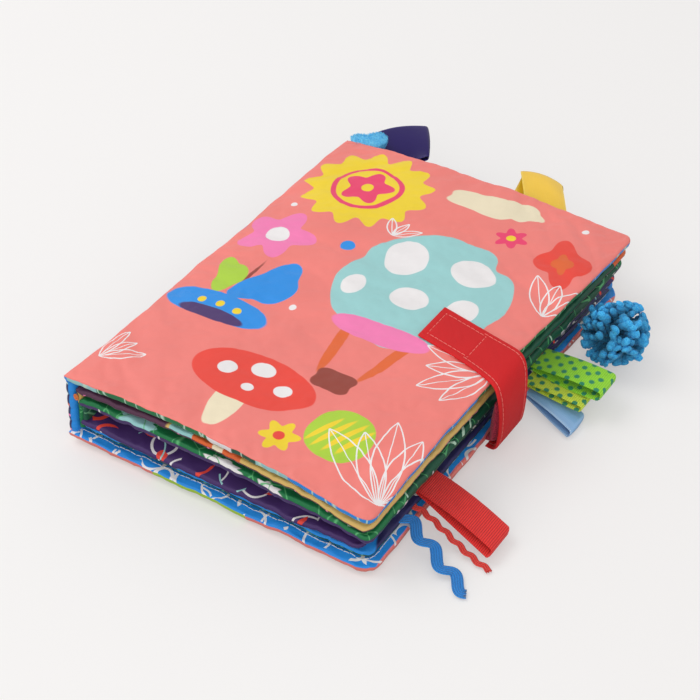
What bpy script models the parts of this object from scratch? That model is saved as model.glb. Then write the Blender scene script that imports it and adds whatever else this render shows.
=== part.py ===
# Crinkle cloth book: two padded covers, four padded leaves, a quilted spine,
# a closing strap, ribbon tags, two tails of wavy rickrack and a pompom.
# The origin is the middle of the back cover's underside. X runs from the spine to the
# fore-edge, Y from the near edge to the far edge, and Z up from the table.

import math

import bmesh
import bpy
from mathutils import Matrix

mm = 0.001

# Covers and leaves
cover_width = 165 * mm
cover_height = 230 * mm
cover_thickness = 8 * mm
leaf_thickness = 6 * mm
leaf_inset = 1.5 * mm
seam_thickness = 2.4 * mm
cloth_thickness = 0.5 * mm
film_thickness = 0.2 * mm
lining_clearance = 0.5 * mm
gap = 0.3 * mm

# Padding: where a panel's corner and its shoulder begin, from the cover's edge.
# The filling reaches as far as the corner.
corner_inset = 9 * mm
shoulder_inset = 28 * mm
middle_line_share = 0.6
corner_line_share = 0.6

# The rise of the edges in the middle of the near edge and of the fore-edge
near_edge_rise = 4 * mm
fore_edge_rise = 3 * mm

# Spine
spine_depth = 4.2 * mm
spine_rounding = 2 * mm

# Layers from the table up: the seam's height as a share of the closed book's height,
# and the share of the edges' rise that the layer takes
layer_shares = {
    "back_cover": (0.111, 0.0),
    "leaf_4": (0.232, 0.08),
    "leaf_3": (0.366, 0.2),
    "leaf_2": (0.616, 0.6),
    "leaf_1": (0.737, 0.8),
    "front_cover": (0.868, 1.0),
}
layer_order = list(layer_shares)
leaf_order = [layer for layer in layer_order if layer.startswith("leaf")]

# Strap
strap_width = 24 * mm
strap_thickness = 1.6 * mm
strap_lap = 45 * mm
strap_place = 3 * mm
strap_bulge = 7 * mm
strap_floor = 2.2 * mm
strap_skew_share = 0.2
hook_tape_thickness = 1 * mm
hook_tape_margin = 1.5 * mm
loop_patch_length = 10 * mm
loop_patch_inset = 3 * mm
loop_patch_thickness = 0.8 * mm

# Ribbon loops
ribbon_thickness = 0.8 * mm
grosgrain_width = 16 * mm
satin_width = 14 * mm
broad_satin_width = 24 * mm
red_loop_reach = 37 * mm
green_loop_reach = 33 * mm
lime_loop_reach = 27 * mm
blue_loop_reach = 26 * mm
purple_loop_reach = 34 * mm
yellow_loop_reach = 21 * mm

# Rickrack
rickrack_thickness = 1.2 * mm
rickrack_floor = 1.2 * mm
red_rickrack_width = 3.2 * mm
red_rickrack_wave = 1.3 * mm
red_rickrack_wave_length = 12 * mm
red_rickrack_reach = 40 * mm
blue_rickrack_width = 5.5 * mm
blue_rickrack_wave = 2.4 * mm
blue_rickrack_wave_length = 15 * mm
blue_rickrack_reach = 37 * mm

# Pompom
pompom_radius = 17.2 * mm
pompom_tuft_height = 1.1 * mm
pompom_layer = "leaf_3"
pompom_place_share = 0.59
pompom_tie_radius = 0.6 * mm
pompom_tie_length = 1.5 * mm
pompom_floor = 0.6 * mm
pompom_tufts = 90

# Plush tab
plush_lobe = 5.5 * mm
plush_reach = 16 * mm
plush_thickness = 3.6 * mm
plush_rounding = 1 * mm
plush_place_share = -0.81
plush_lift = 1.2 * mm
plush_spread_share = 0.75
plush_stem_share = 0.8

# Ribbon loops: the layer that holds each, its width and reach, its place as a share of
# half the edge, and its drop, opening and skew as shares of its reach
loop_shares = {
    "red_grosgrain_loop": ("leaf_3", grosgrain_width, red_loop_reach, -0.53, 0.27, 0.08, -0.22),
    "green_dotted_loop": ("leaf_3", grosgrain_width, green_loop_reach, 0.32, 0.03, 0.09, -0.08),
    "lime_dotted_loop": ("leaf_4", grosgrain_width, lime_loop_reach, 0.25, 0.06, 0.1, -0.06),
    "blue_satin_loop": ("back_cover", satin_width, blue_loop_reach, 0.225, 0.05, 0.1, -0.35),
    "purple_satin_loop": ("leaf_2", broad_satin_width, purple_loop_reach, -0.8, -0.12, 0.09, -0.6),
    "yellow_satin_loop": ("leaf_1", broad_satin_width, yellow_loop_reach, 0.33, 0.02, 0.18, -0.25),
}
far_edge_loops = ("purple_satin_loop", "yellow_satin_loop")

# Rickrack tails: the layer, the tape's width, its wave and the wave's length, its reach,
# its place as a share of half the edge, and its skew as a share of its reach
rickrack_shares = {
    "red_rickrack": (
        "leaf_4", red_rickrack_width, red_rickrack_wave, red_rickrack_wave_length, red_rickrack_reach,
        -0.625, -0.33,
    ),
    "blue_rickrack": (
        "leaf_4", blue_rickrack_width, blue_rickrack_wave, blue_rickrack_wave_length, blue_rickrack_reach,
        -0.705, -0.4,
    ),
}

# Colours
coral = (0.89, 0.26, 0.22)
sky_blue = (0.04, 0.29, 0.74)
navy = (0.03, 0.03, 0.12)
purple = (0.07, 0.03, 0.15)
green = (0.02, 0.2, 0.08)
tan = (0.76, 0.5, 0.15)
red = (0.72, 0.03, 0.03)
dark_red = (0.3, 0.02, 0.02)
light_blue = (0.06, 0.38, 0.68)
satin_blue = (0.25, 0.55, 0.85)
lime = (0.35, 0.7, 0.03)
yellow = (0.9, 0.62, 0.03)
wadding_white = (0.85, 0.85, 0.82)
film_silver = (0.75, 0.77, 0.8)
loop_colours = {
    "red_grosgrain_loop": red,
    "green_dotted_loop": lime,
    "lime_dotted_loop": lime,
    "blue_satin_loop": satin_blue,
    "purple_satin_loop": purple,
    "yellow_satin_loop": yellow,
}
rickrack_colours = {"red_rickrack": red, "blue_rickrack": light_blue}

# Worked out from the sizes above
half_width = cover_width / 2
half_height = cover_height / 2
closed_height = 2 * cover_thickness + len(leaf_order) * leaf_thickness + (len(layer_order) - 1) * gap
leaf_spine_edge = -half_width + spine_depth + gap
leaf_fore_edge = half_width - leaf_inset
leaf_far_edge = half_height - leaf_inset
shoulder_x = half_width - shoulder_inset
shoulder_y = half_height - shoulder_inset
corner_x = half_width - corner_inset
corner_y = half_height - corner_inset
pompom_place = pompom_place_share * half_height
weld_distance = gap / 30


def thickness_of(layer):
    """The layer's full thickness in the middle of the panel."""
    return leaf_thickness if layer in leaf_order else cover_thickness


def middle_of(layer):
    """The lowest and highest level of a layer where the book is fullest."""
    below = layer_order[: layer_order.index(layer)]
    low = sum(thickness_of(other) + gap for other in below)
    return low, low + thickness_of(layer)


def seam_height(layer):
    """The level of a layer's seam at the corners."""
    return layer_shares[layer][0] * closed_height


def crown(x, y):
    """How full the padding is: 0 along the cover's edges and nearly 1 inside."""
    return (1 - (x / half_width) ** 4) * (1 - (y / half_height) ** 4)


def rise(x, y):
    """How far the edges lift between the corners."""
    along = x / half_width
    across = y / half_height
    return near_edge_rise * (1 - along**2) + fore_edge_rise * (1 - across**2) * (1 + along) / 2


def shoulder(distance):
    """0 at the cover's edge, rising smoothly to 1 at the shoulder."""
    return math.sin(math.pi / 2 * min(distance / shoulder_inset, 1))


def level(layer, x, y, side):
    """The height of a layer's outer surface. Side is -1 for its underside and 1 for its top."""
    low, high = middle_of(layer)
    seam = seam_height(layer) + layer_shares[layer][1] * rise(x, y)
    edge = seam + side * seam_thickness / 2
    if layer == layer_order[0] and side < 0:
        flat = shoulder(half_width - abs(x)) * shoulder(half_height - abs(y))
        return edge * (1 - flat)
    full = crown(x, y)
    return edge * (1 - full) + (high if side > 0 else low) * full


def seam_level(layer, x, y):
    """The height of the seam line between a layer's two cloths."""
    return (level(layer, x, y, -1) + level(layer, x, y, 1)) / 2


def x_lines(low, high):
    """The lines across a panel, denser where the padding falls to the fore-edge."""
    inner = [-corner_x, -shoulder_x, 0, shoulder_x, corner_x]
    return [low] + inner + [corner_x + (high - corner_x) * corner_line_share, high]


def y_lines(high):
    """The lines along a panel, denser where the padding falls to the near and far edges."""
    rounding = corner_y + (high - corner_y) * corner_line_share
    upper = [shoulder_y * middle_line_share, shoulder_y, corner_y, rounding, high]
    return [-y for y in reversed(upper)] + [0] + upper


def rounded(x, y, x_edge, y_edge):
    """Draws a point near a fore-edge corner in, so that the corner is an arc."""
    along = (x - corner_x) / (x_edge - corner_x)
    across = (abs(y) - corner_y) / (y_edge - corner_y)
    if along <= 0 or across <= 0:
        return x, y
    pull = max(along, across) / math.hypot(along, across)
    new_x = corner_x + (x - corner_x) * pull
    new_y = corner_y + (abs(y) - corner_y) * pull
    return new_x, math.copysign(new_y, y)


def material(name, colour, roughness=0.8):
    """A plain Principled material."""
    made = bpy.data.materials.new(name)
    made.use_nodes = True
    shader = made.node_tree.nodes["Principled BSDF"]
    shader.inputs["Base Color"].default_value = (*colour, 1)
    shader.inputs["Roughness"].default_value = roughness
    shader.inputs["Metallic"].default_value = 0
    made.diffuse_color = (*colour, 1)
    return made


def finish(name, mesh, colour, roughness=0.8, angle=35):
    """Makes the mesh an object of the book, smooth where its faces turn gently."""
    mesh.name = name
    mesh.shade_smooth()
    mesh.set_sharp_from_angle(angle=math.radians(angle))
    mesh.materials.clear()
    mesh.materials.append(material(name, colour, roughness))
    obj = bpy.data.objects.new(name, mesh)
    book.objects.link(obj)
    return obj


def panel(name, lines_x, lines_y, low, high, colour, roughness=0.8, rounds=True):
    """A closed panel between two height functions, which take x, y and whether the point is on the rim."""
    bm = bmesh.new()
    last_x, last_y = len(lines_x) - 1, len(lines_y) - 1
    for height in (low, high):
        sheet = bmesh.ops.create_grid(bm, x_segments=last_x, y_segments=last_y, size=1)
        sheet_faces = {face for vert in sheet["verts"] for face in vert.link_faces}
        bmesh.ops.triangulate(bm, faces=list(sheet_faces), quad_method="FIXED")
        for vert in sheet["verts"]:
            i = round((vert.co.x + 1) / 2 * last_x)
            j = round((vert.co.y + 1) / 2 * last_y)
            x, y = lines_x[i], lines_y[j]
            if rounds:
                x, y = rounded(x, y, lines_x[-1], lines_y[-1])
            rim = i in (0, last_x) or j in (0, last_y)
            vert.co = (x, y, height(x, y, rim))
    rims = [edge for edge in bm.edges if edge.is_boundary]
    bmesh.ops.bridge_loops(bm, edges=rims)
    bmesh.ops.recalc_face_normals(bm, faces=bm.faces)
    mesh = bpy.data.meshes.new(name)
    bm.to_mesh(mesh)
    bm.free()
    return finish(name, mesh, colour, roughness)


def cloth(name, layer, side, lines_x, lines_y, colour):
    """One face of a padded panel: it follows the padding, and its edge is folded in to the seam."""

    def outer(x, y, rim):
        return level(layer, x, y, side)

    def inner(x, y, rim):
        if rim:
            return seam_level(layer, x, y) + side * gap / 2
        return level(layer, x, y, side) - side * cloth_thickness

    low, high = (inner, outer) if side > 0 else (outer, inner)
    return panel(name, lines_x, lines_y, low, high, colour)


def filling_lines():
    """The lines of a panel's filling, which stops short of the seams."""
    across = [-corner_x, -shoulder_x, 0, shoulder_x, corner_x]
    middle = shoulder_y * middle_line_share
    return across, [-corner_y, -shoulder_y, -middle, 0, middle, shoulder_y, corner_y]


def cover(layer, outside, inside):
    """A cover: printed cloth outside, lining inside, and wadding and a crinkle film between."""
    lines_x, lines_y = x_lines(-half_width, half_width), y_lines(half_height)
    outer_side = 1 if layer == layer_order[-1] else -1
    cloth(layer + "_cloth", layer, outer_side, lines_x, lines_y, outside)
    cloth(layer + "_lining", layer, -outer_side, lines_x, lines_y, inside)
    across, along = filling_lines()

    def film_top(x, y, rim):
        return level(layer, x, y, 1) - cloth_thickness - lining_clearance

    def film_bottom(x, y, rim):
        return film_top(x, y, rim) - film_thickness

    def wadding_top(x, y, rim):
        return film_bottom(x, y, rim) - lining_clearance

    def wadding_bottom(x, y, rim):
        return level(layer, x, y, -1) + cloth_thickness + lining_clearance

    panel(layer + "_crinkle_film", across, along, film_bottom, film_top, film_silver, 0.2, False)
    panel(layer + "_wadding", across, along, wadding_bottom, wadding_top, wadding_white, 0.9, False)


def leaf(layer, upper, lower):
    """A leaf: two printed cloths, seamed all round, with a crinkle film between."""
    lines_x, lines_y = x_lines(leaf_spine_edge, leaf_fore_edge), y_lines(leaf_far_edge)
    cloth(layer + "_upper_cloth", layer, 1, lines_x, lines_y, upper)
    cloth(layer + "_lower_cloth", layer, -1, lines_x, lines_y, lower)
    across, along = filling_lines()

    def film_top(x, y, rim):
        return seam_level(layer, x, y) + film_thickness / 2

    def film_bottom(x, y, rim):
        return seam_level(layer, x, y) - film_thickness / 2

    panel(layer + "_crinkle_film", across, along, film_bottom, film_top, film_silver, 0.2, False)


def outline_mesh(splines, depth, rounding=0):
    """The mesh of flat closed outlines, filled and given a depth along the outlines' normal."""
    curve = bpy.data.curves.new("outline", "CURVE")
    curve.dimensions = "2D"
    curve.fill_mode = "BOTH"
    curve.extrude = depth / 2 - rounding
    curve.bevel_depth = rounding
    curve.bevel_resolution = 1
    for points in splines:
        spline = curve.splines.new("POLY")
        spline.points.add(len(points) - 1)
        for point, (u, v) in zip(spline.points, points):
            point.co = (u, v, 0, 1)
        spline.use_cyclic_u = True
    drawn = bpy.data.objects.new("outline", curve)
    bpy.context.scene.collection.objects.link(drawn)
    evaluated = drawn.evaluated_get(bpy.context.evaluated_depsgraph_get())
    mesh = bpy.data.meshes.new_from_object(evaluated)
    bpy.data.objects.remove(drawn)
    bpy.data.curves.remove(curve)
    bm = bmesh.new()
    bm.from_mesh(mesh)
    bmesh.ops.remove_doubles(bm, verts=bm.verts, dist=weld_distance)
    bmesh.ops.recalc_face_normals(bm, faces=bm.faces)
    bm.to_mesh(mesh)
    bm.free()
    return mesh


def upright(mesh, skew=0):
    """Turns a flat outline up into the XZ plane, and skews it along Y as it runs along X."""
    mesh.transform(Matrix.Rotation(math.pi / 2, 4, "X"))
    slant = Matrix.Identity(4)
    slant[1][0] = skew
    mesh.transform(slant)
    return mesh


def rounded_box(x_low, x_high, z_low, z_high, radius, steps=3):
    """The outline of a box whose left corners are round."""
    points = [(x_high, z_low), (x_high, z_high)]
    for start, z in ((90, z_high - radius), (180, z_low + radius)):
        for i in range(steps + 1):
            angle = math.radians(start + 90 * i / steps)
            points.append((x_low + radius + radius * math.cos(angle), z + radius * math.sin(angle)))
    return points


def spine_room(layer, side):
    """The levels of a cover's inner face where the spine meets it."""
    xs = (-half_width, -half_width + spine_depth)
    return [level(layer, x, y, side) for x in xs for y in (0, half_height)]


def spine_levels():
    """The creases of the spine, from the back cover up to the front cover."""
    seams = [seam_height(layer) for layer in layer_order]
    creases = [(low + high) / 2 for low, high in zip(seams[1:], seams[2:-1])]
    bottom = max(spine_room(layer_order[0], 1)) + gap / 2
    top = min(spine_room(layer_order[-1], -1)) - gap / 2
    return [bottom] + creases + [top]


def spine_channel(number, low, high):
    """One quilted channel of the spine: a tube of cloth round a strip of wadding."""
    x_low, x_high = -half_width, -half_width + spine_depth
    low, high = low + gap / 2, high - gap / 2
    wall = cloth_thickness
    outer = rounded_box(x_low, x_high, low, high, spine_rounding)
    inner = rounded_box(x_low + wall, x_high - wall, low + wall, high - wall, spine_rounding - wall)
    tube = upright(outline_mesh([outer, inner], cover_height))
    finish(f"spine_channel_{number}", tube, navy)
    inset = wall + gap
    core = rounded_box(x_low + inset, x_high - inset, low + inset, high - inset, spine_rounding - inset)
    strip = upright(outline_mesh([core], cover_height - 2 * corner_inset))
    finish(f"spine_padding_{number}", strip, wadding_white)


def band_outline(path, thickness):
    """The outline of a band of even thickness along a path."""
    left, right = [], []
    for i, (u, v) in enumerate(path):
        before, after = path[max(i - 1, 0)], path[min(i + 1, len(path) - 1)]
        du, dv = after[0] - before[0], after[1] - before[1]
        length = math.hypot(du, dv)
        nu, nv = -dv / length * thickness / 2, du / length * thickness / 2
        left.append((u + nu, v + nv))
        right.append((u - nu, v - nv))
    return left + right[::-1]


def loop_path(reach, drop, opening, steps=7, turn_steps=4):
    """The line of a folded ribbon: out from the seam, round the fold and back."""
    closed = (ribbon_thickness + gap) / 2

    def half(share):
        return closed + (opening / 2 - closed) * math.sin(math.pi * 0.75 * share)

    def middle(share):
        return -drop * share**1.6

    fold = half(1)
    shares = [i / steps for i in range(steps + 1)]
    upper = [(share * (reach - fold), middle(share) + half(share)) for share in shares]
    lower = [(u, middle(share) - half(share)) for share, (u, v) in zip(shares, upper)]
    turns = [math.pi / 2 - math.pi * i / turn_steps for i in range(1, turn_steps)]
    fold_line = [(reach - fold + fold * math.cos(a), middle(1) + fold * math.sin(a)) for a in turns]
    return upper + fold_line + lower[::-1]


def on_fore_edge(obj, layer, y):
    """Seats a tag against the seam of a layer's fore-edge."""
    edge = leaf_fore_edge if layer in leaf_order else half_width
    obj.location = (edge + gap, y, seam_level(layer, edge, y))


def on_far_edge(obj, layer, x):
    """Seats a tag against the seam of a layer's far edge."""
    edge = leaf_far_edge if layer in leaf_order else half_height
    obj.location = (x, edge + gap, seam_level(layer, x, edge))
    obj.rotation_euler = (0, 0, math.pi / 2)


def ribbon_loop(name):
    """A ribbon folded in two, whose ends are sewn into a seam."""
    layer, width, reach, place, drop, opening, skew = loop_shares[name]
    outline = band_outline(loop_path(reach, drop * reach, opening * reach), ribbon_thickness)
    obj = finish(name, upright(outline_mesh([outline], width), skew), loop_colours[name], 0.6)
    if name in far_edge_loops:
        on_far_edge(obj, layer, place * half_width)
    else:
        on_fore_edge(obj, layer, place * half_height)


def rickrack(name, steps=8):
    """A wavy tape that leaves the fore-edge seam and falls to the table."""
    layer, width, wave, wave_length, reach, place, skew = rickrack_shares[name]
    y = place * half_height
    count = round(reach / wave_length * steps)
    us = [reach * i / count for i in range(count + 1)]
    middle = [(u, wave * math.cos(2 * math.pi * u / wave_length)) for u in us]
    mesh = outline_mesh([band_outline(middle, width)], rickrack_thickness)
    fall = seam_level(layer, leaf_fore_edge, y) - rickrack_floor
    for vert in mesh.vertices:
        u = max(vert.co.x, 0)
        drop = fall * math.sin(math.pi / 2 * u / reach) ** 1.5
        vert.co = (u, vert.co.y + skew * u, vert.co.z - drop)
    on_fore_edge(finish(name, mesh, rickrack_colours[name], 0.7), layer, y)


def strap_slant(mesh):
    """Slants the strap: it drifts to the near side as it runs out over the cover and down."""
    slant = Matrix.Identity(4)
    slant[1][0] = -strap_skew_share
    slant[1][2] = strap_skew_share
    mesh.transform(Matrix.Rotation(math.pi / 2, 4, "X"))
    mesh.transform(slant)
    start_x = half_width - strap_lap
    shift = strap_place + strap_skew_share * (start_x - strap_height(half_width))
    mesh.transform(Matrix.Translation((0, shift, 0)))
    return mesh


def strap_height(x):
    """The level of the strap's middle where it lies on the front cover."""
    return level(layer_order[-1], x, 0, 1) + gap + strap_thickness / 2


def strap_arc(bottom_degrees, top_degrees=90, inward=0, steps=12):
    """The strap's way round the fore-edge, from its fold down to the table."""
    top, bottom = strap_height(half_width), strap_floor
    centre, half = (top + bottom) / 2, (top - bottom) / 2 - inward
    path = []
    for i in range(steps + 1):
        angle = math.radians(top_degrees + (bottom_degrees - top_degrees) * i / steps)
        out = (strap_bulge - inward) * max(math.cos(angle), 0) ** 0.5
        up = half * math.copysign(abs(math.sin(angle)) ** 0.8, math.sin(angle))
        path.append((half_width + gap + out, centre + up))
    return path


def strap():
    """The strap: its sewn end on the front cover, its free band, the hook tape and the loop patch."""
    lap_shares = (1, 0.75, 0.5, 0.3, 0.15, 0)
    sewn = [(half_width - strap_lap * share, 0) for share in lap_shares]
    sewn = [(x, strap_height(x)) for x, z in sewn]
    sewn_mesh = strap_slant(outline_mesh([band_outline(sewn, strap_thickness)], strap_width))
    finish("strap_sewn_end", sewn_mesh, red)
    band = strap_arc(-72)
    band_mesh = strap_slant(outline_mesh([band_outline(band, strap_thickness)], strap_width))
    finish("strap_band", band_mesh, red)
    inward = strap_thickness / 2 + gap + hook_tape_thickness / 2
    tape = strap_arc(-62, 10, inward, 6)
    tape_width = strap_width - 2 * hook_tape_margin
    tape_mesh = strap_slant(outline_mesh([band_outline(tape, hook_tape_thickness)], tape_width))
    finish("strap_hook_tape", tape_mesh, dark_red, 0.95)


def loop_patch():
    """The closure's loop patch, on the underside of the back cover near its fore-edge."""
    layer = layer_order[0]
    x_high = half_width - loop_patch_inset
    lines_x = [x_high - loop_patch_length * share for share in (1, 0.6, 0.3, 0)]
    reach = strap_lap + strap_height(half_width)
    middle = strap_place - strap_skew_share * reach
    half = strap_width / 2 - hook_tape_margin
    lines_y = [middle - half, middle + half]

    def top(x, y, rim):
        return level(layer, x, y, -1) - gap

    def bottom(x, y, rim):
        return top(x, y, rim) - loop_patch_thickness

    panel("back_cover_loop_patch", lines_x, lines_y, bottom, top, dark_red, 0.95, False)


def pompom():
    """A chenille ball of small tufts, spread evenly over it, and the thread that ties it on."""
    seam = seam_level(pompom_layer, leaf_fore_edge, pompom_place)
    full = pompom_radius + pompom_tuft_height
    centre_z = pompom_floor + full
    reach = math.sqrt(full**2 - (centre_z - seam) ** 2)
    golden = math.pi * (3 - math.sqrt(5))
    tufts = [(-reach / full, 0, (seam - centre_z) / full)]
    for i in range(pompom_tufts):
        z = 1 - 2 * (i + 0.5) / pompom_tufts
        ring = math.sqrt(1 - z * z)
        tufts.append((ring * math.cos(golden * i), ring * math.sin(golden * i), z))
    spread = 2 / math.sqrt(pompom_tufts)
    bm = bmesh.new()
    bmesh.ops.create_icosphere(bm, subdivisions=4, radius=1)
    for vert in bm.verts:
        way = vert.co.normalized()
        away = min(math.dist(way, tuft) for tuft in tufts)
        vert.co = way * (pompom_radius + pompom_tuft_height * max(0, 1 - (away / spread) ** 2))
    mesh = bpy.data.meshes.new("pompom")
    bm.to_mesh(mesh)
    bm.free()
    ball = finish("pompom", mesh, light_blue, 0.9, 60)
    tie_start = leaf_fore_edge + gap
    ball.location = (tie_start + pompom_tie_length + gap + reach, pompom_place, centre_z)
    turns = [2 * math.pi * i / 8 for i in range(8)]
    ring = [(pompom_tie_radius * math.cos(a), pompom_tie_radius * math.sin(a)) for a in turns]
    thread = outline_mesh([ring], pompom_tie_length)
    thread.transform(Matrix.Rotation(math.pi / 2, 4, "Y"))
    tie = finish("pompom_tie", thread, light_blue)
    tie.location = (tie_start + pompom_tie_length / 2, pompom_place, seam)


def plush_tab():
    """A small plush tab with two round lobes, sewn into a far-edge seam."""
    centre_u = plush_reach - plush_lobe
    centre_v = plush_lobe * plush_spread_share
    meet = math.degrees(math.asin(plush_spread_share))
    arc = [math.radians(-150 + (150 + meet) * i / 8) for i in range(9)]
    lobe = [(centre_u + plush_lobe * math.cos(a), plush_lobe * math.sin(a) - centre_v) for a in arc]
    mirrored = [(u, -v) for u, v in reversed(lobe[:-1])]
    stem = plush_lobe * plush_stem_share
    outline = [(0, -stem)] + lobe + mirrored + [(0, stem)]
    obj = finish("plush_tab", outline_mesh([outline], plush_thickness, plush_rounding), light_blue, 0.95)
    on_far_edge(obj, "leaf_1", plush_place_share * half_width)
    obj.location.y += plush_rounding
    obj.location.z += plush_lift


for old in list(bpy.data.objects):
    bpy.data.objects.remove(old)

book = bpy.data.collections.new("crinkle_cloth_book")
bpy.context.scene.collection.children.link(book)

cover("back_cover", coral, sky_blue)
cover("front_cover", coral, sky_blue)
leaf("leaf_4", purple, green)
leaf("leaf_3", purple, tan)
leaf("leaf_2", green, purple)
leaf("leaf_1", tan, green)

levels = spine_levels()
for layer, low, high in zip(leaf_order, levels, levels[1:]):
    spine_channel(layer[-1], low, high)

strap()
loop_patch()
pompom()
plush_tab()

for name in loop_shares:
    ribbon_loop(name)
for name in rickrack_shares:
    rickrack(name)
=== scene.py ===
# %% [markdown]
# A crinkle cloth book lies closed on a pale table, held shut by a red strap.
# It is a stack of thin printed cushions: two covers and four leaves, all sewn to a quilted spine.
# Ribbons, two tails of wavy tape, a pompom and a plush tab stick out of the seams.
# Each cell below dresses one of these over the construction, which is loaded first and never moved.

# %% Load the construction
import math

import bmesh
import bpy
import numpy as np
from mathutils import Matrix, Vector


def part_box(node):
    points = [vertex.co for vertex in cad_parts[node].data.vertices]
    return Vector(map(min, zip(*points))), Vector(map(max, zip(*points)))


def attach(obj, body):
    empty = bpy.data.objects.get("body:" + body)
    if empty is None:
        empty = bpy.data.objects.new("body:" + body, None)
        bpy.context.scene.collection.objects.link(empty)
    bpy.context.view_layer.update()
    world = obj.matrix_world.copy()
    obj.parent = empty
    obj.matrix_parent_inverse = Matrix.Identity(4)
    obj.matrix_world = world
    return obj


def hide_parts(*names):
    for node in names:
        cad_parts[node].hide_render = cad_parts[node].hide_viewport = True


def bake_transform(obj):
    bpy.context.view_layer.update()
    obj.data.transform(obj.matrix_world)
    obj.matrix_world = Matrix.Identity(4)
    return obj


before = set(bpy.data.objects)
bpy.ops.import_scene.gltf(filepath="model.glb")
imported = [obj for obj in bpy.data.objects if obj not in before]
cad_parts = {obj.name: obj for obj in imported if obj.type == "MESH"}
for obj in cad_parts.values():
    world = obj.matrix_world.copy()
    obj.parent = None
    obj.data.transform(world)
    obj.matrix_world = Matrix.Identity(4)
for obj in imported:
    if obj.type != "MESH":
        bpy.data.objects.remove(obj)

mm = 0.001
scene = bpy.context.scene
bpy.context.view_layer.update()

# %% [markdown]
# The camera comes first, because everything is judged through it.
# A long lens from a little over half a metre up flattens the book, as a product photograph does.
# Its place was found by fitting the corners of both covers, so it is written as plain numbers.

# %% The camera
photo_pixels = 700
focal_pixels = 1882
sensor_width = 36
camera_place = (0.36755, -0.5777, 0.5833)
camera_turn = -32.79
camera_dip = 39.91

camera = bpy.data.objects.new("camera", bpy.data.cameras.new("camera"))
camera.data.sensor_width = sensor_width
camera.data.lens = sensor_width * focal_pixels / photo_pixels
camera.location = camera_place
camera.rotation_euler = (math.radians(90 - camera_dip), 0, math.radians(-camera_turn))
scene.collection.objects.link(camera)
scene.camera = camera
print("lens", round(camera.data.lens, 1), "mm")

# %% [markdown]
# Everything sewn follows the same few surfaces, so the book's padding is written as functions.
# A panel is fullest in the middle and thin at its seams, and the edges of the pile lift a little.
# The same rules shaped the construction, so a dressed piece lies where its solid does.
# All lengths from here on are millimetres, and a mesh is scaled to metres when it is made.

# %% The padding's surfaces
cover_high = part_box("front_cover_cloth")[1] / mm
leaf_low, leaf_high = (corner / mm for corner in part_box("leaf_1_upper_cloth"))
half_width, half_height, closed_height = cover_high.x, cover_high.y, cover_high.z
cover_thickness = 8
leaf_thickness = 6
gap = 0.3
seam_thickness = 2.4
shoulder_inset = 28
near_edge_rise = 4
fore_edge_rise = 3
# How far in from its fore-edge corners a panel's outline turns round
corner_insets = {"back_cover": 9, "front_cover": 5}
leaf_corner_inset = 5

# The seam's height as a share of the closed book's, and how much of the edges' rise the layer takes
layers = {
    "back_cover": (0.111, 0.0),
    "leaf_4": (0.232, 0.08),
    "leaf_3": (0.366, 0.2),
    "leaf_2": (0.616, 0.6),
    "leaf_1": (0.737, 0.8),
    "front_cover": (0.868, 1.0),
}
layer_names = list(layers)
inner_fold_inset = 2.4


def seam_height(layer):
    """The level of a layer's seam at the corners."""
    return layers[layer][0] * closed_height


def outline(layer):
    """A panel's spine edge, fore-edge and far edge."""
    if "cover" in layer:
        return -half_width, half_width, half_height
    spine_edge = leaf_low.x + (inner_fold_inset if layer in ("leaf_2", "leaf_3") else 0)
    return spine_edge, leaf_high.x, leaf_high.y


def corner_of(layer):
    """Where a panel's round fore-edge corners begin."""
    _, fore_edge, far_edge = outline(layer)
    inset = corner_insets.get(layer, leaf_corner_inset)
    return fore_edge - inset, far_edge - inset


def middle_of(layer):
    """The lowest and highest level of a layer in the middle of the book."""
    place = layer_names.index(layer)
    low = 0 if place == 0 else cover_thickness + gap + (place - 1) * (leaf_thickness + gap)
    return low, low + (cover_thickness if "cover" in layer else leaf_thickness)


def level(layer, x, y, side):
    """The height of a panel's underside, side -1, or of its top, side 1."""
    low, high = middle_of(layer)
    across, along = x / half_width, y / half_height
    lift = near_edge_rise * (1 - across**2) + fore_edge_rise * (1 - along**2) * (1 + across) / 2
    edge = seam_height(layer) + layers[layer][1] * lift + side * seam_thickness / 2
    if layer == "back_cover" and side < 0:
        reach_x = np.minimum((half_width - np.abs(x)) / shoulder_inset, 1)
        reach_y = np.minimum((half_height - np.abs(y)) / shoulder_inset, 1)
        return edge * (1 - np.sin(np.pi / 2 * reach_x) * np.sin(np.pi / 2 * reach_y))
    full = (1 - across**4) * (1 - along**4)
    return edge * (1 - full) + (high if side > 0 else low) * full


def seam_level(layer, x, y):
    """The height of the seam between a panel's two cloths."""
    return (level(layer, x, y, -1) + level(layer, x, y, 1)) / 2


print("closed book", round(2 * half_width), "x", round(2 * half_height), "x", round(closed_height, 1), "mm")

# %% [markdown]
# Most pieces are grids of points: a cloth, a ribbon or a tape is a sheet that has been bent.
# One helper makes such a mesh from rows and columns of points, with a UV map in metres, so that a
# weave or a print keeps its real scale however the cloth is bent.

# %% Making meshes


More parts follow.
